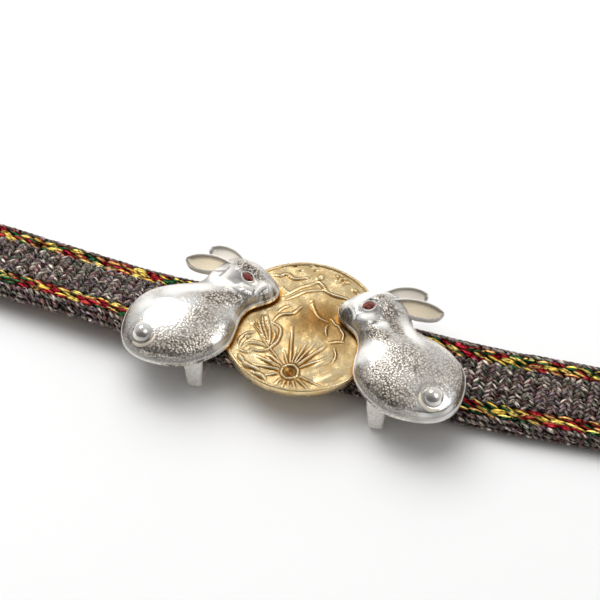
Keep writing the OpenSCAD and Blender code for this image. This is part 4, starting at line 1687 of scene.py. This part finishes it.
    def eye_outline(self, grow: float) -> Array:
        """Closed marquise outline, two arcs that meet in points.

        Args:
            grow: How much larger it is than the stone on each side.

        Returns:
            Places in X and Y.
        """
        k = np.linspace(0, 1, self.bezel_points, endpoint=False)
        long, wide = (size + 2 * grow for size in self.stone)
        r = (long**2 / 4 + wide**2 / 4) / wide
        a = math.asin(long / 2 / r)
        c = r - wide / 2
        f = np.where(k < 0.5, -a + 4 * a * k, a - 4 * a * (k - 0.5))
        return np.stack([r * np.sin(f), np.where(k < 0.5, 1.0, -1.0) * (r * np.cos(f) - c)], axis=1)

    def bezel(self) -> None:
        """Rubbed-over rim of the eye: a rounded profile carried round the marquise outline."""
        high = self.bezel_h
        profile = ((0.03, -self.bezel_deep), (0.03, 0.02), (0.06, high), (0.11, high + 0.02),
                   (0.16, high - 0.02), (self.bezel_w, -0.02), (self.bezel_w, -self.bezel_deep))
        ring = np.stack([np.column_stack([self.eye_outline(g), np.full(self.bezel_points, h)])
                         for g, h in profile], axis=1)
        seat = self.on_skin(*self.eye_at, self.eye_rise)
        points = ring.reshape(-1, 3) @ turning(*np.radians(self.eye_turn)).T + seat
        self.add("eye_bezel", points, grid_faces(self.bezel_points, len(profile), closed_rows=True),
                 sharp=35.0, matte=self.bezel_matte)

    def back_loop(self) -> None:
        """U-shaped strap: a rounded oblong section carried down, along and up again.

        The section is a superellipse, whose cosine and sine are raised to a power below 1. The
        strap narrows from its soldered ends to its foot.
        """
        low, bend = self.strap_bend, self.strap_bend - self.strap[1] / 2
        near, far = self.loop_y[0] + low, self.loop_y[1] - low
        top = self.shell_z + self.loop_in
        count, rows, foot_rows = self.strap_grid
        drop = np.linspace(top, low, rows)[:-1]
        arc = np.linspace(0, math.pi / 2, rows)
        legs = (
            (near - bend, drop, math.pi),
            (near - bend * np.cos(arc), low - bend * np.sin(arc), math.pi + arc),
            (np.linspace(near, far, foot_rows)[1:-1], low - bend, 1.5 * math.pi),
            (far + bend * np.sin(arc), low - bend * np.cos(arc), 1.5 * math.pi + arc),
            (far + bend, drop[::-1], 2 * math.pi),
        )
        path = np.concatenate([np.stack(np.broadcast_arrays(*leg), axis=1) for leg in legs])
        y, z, turn = (path[:, k:k + 1] for k in range(3))
        a = full_turn(count)
        cx, cr = (np.sign(f(a)) * np.abs(f(a)) ** self.strap_power for f in (np.cos, np.sin))
        share = self.foot_share + (1 - self.foot_share) * smoothstep(z, self.foot_z, top)
        half, out = self.strap[0] / 2 * share, self.strap[1] / 2 * cr
        points = np.stack([self.loop_x + half * cx, y + out * np.cos(turn), z + out * np.sin(turn)],
                          axis=-1)
        self.add("back_loop", points.reshape(-1, 3), grid_faces(len(path), count), sharp=50.0,
                 matte=self.strap_matte, patina=self.strap_patina)

    def hidden_pegs(self) -> None:
        """Two plain pegs that carry the moon disc, surfaces of revolution."""
        foot, head = self.disc_top + self.peg_gap, self.shell_z + self.peg_in
        wide = self.peg_r + self.peg_flare
        profile = np.array([[self.peg_r, foot], [self.peg_r, foot + self.peg_lip], [wide, head],
                            [wide, head + self.peg_lip]])
        for k, (x, y) in enumerate(PEGS):
            points = revolved(profile, self.peg_points) + (x, y, 0)
            self.add(f"peg_{k + 1}", points, grid_faces(len(profile), self.peg_points),
                     sharp=30.0, matte=self.cavity_matte)

    def build(self) -> list:
        """Makes every piece of the rabbit.

        Returns:
            Its pieces.
        """
        self.shell()
        for part, row in EARS.items():
            self.ear(part, row, self.ear_cream[part])
        self.tail()
        self.bezel()
        self.back_loop()
        self.hidden_pegs()
        return self.pieces


@dataclass
class MoonDisc:
    """Gold disc with a rounded rim and a relief of a moonlit meadow."""

    # Disc and its rim
    radius: float = 9.05
    bottom: float = 3.7
    thickness: float = 0.95
    rim_w: float = 0.42
    rim_h: float = 0.18
    rim_points: int = 11
    # Flower, with the depth and width of its pit and of the painted shade in it
    flower_at: tuple = (0.3, -6.45)
    flower_ring: float = 0.92
    flower_ring_w: float = 0.28
    flower_ring_h: float = 0.20
    flower_pit: tuple = (0.26, 0.55)
    flower_pit_shade: tuple = (0.06, 0.62)
    # Relief: shares of the tables' widths and heights, how far its lines wander, and the radius
    # and the margin of the places that it leaves to the pegs
    ray_share: float = 0.95
    line_share: float = 0.85
    line_spread: float = 1.5
    wander: float = 0.05
    strength: float = 1.15
    peg_clear: tuple = (1.15, 0.4)
    # Gold: strength of the painted highlight on crests and of the painted shade in hollows, the
    # radius that it is taken over, the depth of level places, and the strength and reach of each
    # rabbit's painted shade
    relief_shading: tuple = (8.0, 9.0)
    relief_shading_reach: float = 0.2
    gold_depth: float = 0.45
    shade: ClassVar[dict] = {Side.LEFT: (1.0, 0.6), Side.RIGHT: (0.8, 0.45)}
    # Rays and rings of the face, and the power that draws the rings towards the flower
    rays: int = 360
    rings: int = 230
    ring_power: float = 1.15

    def flower(self, d: Array, a: Array) -> Array:
        """Ring, pit and ridges of the flower.

        The ring is a bell curve of the distance with uneven knots round it, the pit a bell
        curve at the centre, and a ridge is (1 - r squared) squared across its line, fading in
        at its start and out over its far half.

        Args:
            d: Distance from the flower's centre.
            a: Direction in radians.

        Returns:
            Height at each place.
        """
        knots = 0.85 + 0.4 * np.cos(7 * a) * np.cos(2 * a + 0.6)
        total = (self.flower_ring_h * bell(d, self.flower_ring, 0.5 * self.flower_ring_w) * knots
                 - self.flower_pit[0] * bell(d, 0, self.flower_pit[1]))
        for turn, start, end, wide, rise in RIDGES:
            off = d * np.sin(a - math.radians(turn))
            along = d * np.cos(a - math.radians(turn))
            across = np.clip(1 - (off / (self.ray_share * wide)) ** 2, 0, 1) ** 2
            fade = np.clip((along - start) / 0.3, 0, 1) * np.clip((end - along) / (0.5 * end), 0, 1)
            total += rise * across * fade
        return total

    def relief(self, x: Array, y: Array) -> Array:
        """Height of the whole relief, fading out where the hidden pegs stand.

        The lines wander by sines of both coordinates, as lines worked by hand do.

        Args:
            x: Places in X.
            y: Places in Y.

        Returns:
            Height at each place.
        """
        dx, dy = x - self.flower_at[0], y - self.flower_at[1]
        wx = x + self.wander * np.sin(1.7 * y + 0.7 * x)
        wy = y + self.wander * np.sin(1.9 * x - 0.5 * y)
        land = np.ones(x.shape)
        for px, py in PEGS:
            away = np.hypot(np.abs(x) - px, y - py) - self.peg_clear[0]
            land = np.minimum(land, np.clip(away / self.peg_clear[1], 0, 1))
        lines = strokes(wx, wy, segments(RELIEF_LINES, self.line_spread), True)
        height = (self.flower(np.hypot(dx, dy), np.arctan2(dy, dx)) + self.line_share * lines
                  + lumps(wx, wy, LUMPS))
        return land * self.strength * height

    def cavity(self, x: Array, y: Array) -> Array:
        """How far each place lies below the mean of eight places round it.

        Args:
            x: Places in X.
            y: Places in Y.

        Returns:
            The depth, less than nothing on crests.
        """
        reach = [(self.relief_shading_reach * math.cos(t), self.relief_shading_reach * math.sin(t)) for t in full_turn(8)]
        around = sum(self.relief(x + dx, y + dy) for dx, dy in reach)
        return around / len(reach) - self.relief(x, y)

    def build(self) -> bpy.types.Object:
        """Makes the disc.

        Rays run out from the flower's centre. The rings on each ray go over the relief, the
        rounded rim, down the edge and in over the back to its middle.

        Returns:
            The disc.
        """
        a = full_turn(self.rays)
        ray = np.stack([np.cos(a), np.sin(a)], axis=1)
        at = np.array(self.flower_at)
        m = ray @ at
        edge = at + ray * (np.sqrt(m * m + self.radius**2 - at @ at) - m)[:, None]
        inside = 1 - self.rim_w / self.radius
        f = np.linspace(0, 1, self.rings)[1:, None, None] ** self.ring_power
        face = at + (edge * inside - at) * f
        top = self.bottom + self.thickness
        relief = np.dstack([face, top + self.relief(face[..., 0], face[..., 1])])
        half = 0.5 * self.rim_w / self.radius
        turn = np.linspace(math.pi, 0, self.rim_points)[1:]
        rim = np.stack([1 - half + half * np.cos(turn), top + self.rim_h * np.sin(turn)], axis=1)
        back = [(1.0, self.bottom + 0.1)] + [(share, self.bottom) for share in (0.99, 0.6, 0.02)]
        rows = [relief] + [np.column_stack([edge * share, np.full(self.rays, height)])[None]
                           for share, height in (*rim, *back)]
        ring = np.concatenate(rows)
        points = ring.reshape(-1, 3)
        x, y = ring[..., 0], ring[..., 1]
        # Painted light and shade of the relief: paler on crests, deeper in hollows, in the flower's pit
        # and where the table paints a darker reflection
        sunk = self.flower_pit_shade[0] * bell(np.hypot(x - at[0], y - at[1]), 0, self.flower_pit_shade[1])
        sunk[:len(relief)] += self.cavity(face[..., 0], face[..., 1])
        depth = self.gold_depth + lumps(x, y, GOLD_SHADING) + np.where(sunk < 0, *self.relief_shading) * sunk
        # Painted shade under each rabbit's edge
        shaded = np.max([share * Rabbit(side).cover(points, reach)
                         for side, (share, reach) in self.shade.items()], axis=0)
        return make_piece("moon_disc_relief", points, grid_faces(len(ring), self.rays), GOLD,
                          "moon_disc", sharp=60.0, depth=np.clip(depth, 0, 1).ravel(), shaded=shaded)


def dress_eyes() -> None:
    """Gives the two faceted stones their garnet."""
    for name in ("left_eye", "right_eye"):
        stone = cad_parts[name]
        for holder in stone.material_slots:
            holder.material = GARNET.material()
        LOG.info("%s: garnet", name)


def main() -> None:
    """Builds the camera, the cord, the ornament and the studio, in that order."""
    logging.basicConfig(level=logging.INFO, format="%(message)s")
    PhotoCamera().build()
    SashCord().build()
    for side in Side:
        Rabbit(side).build()
    MoonDisc().build()
    dress_eyes()
    Studio().build()


if __name__ == "__main__":
    main()
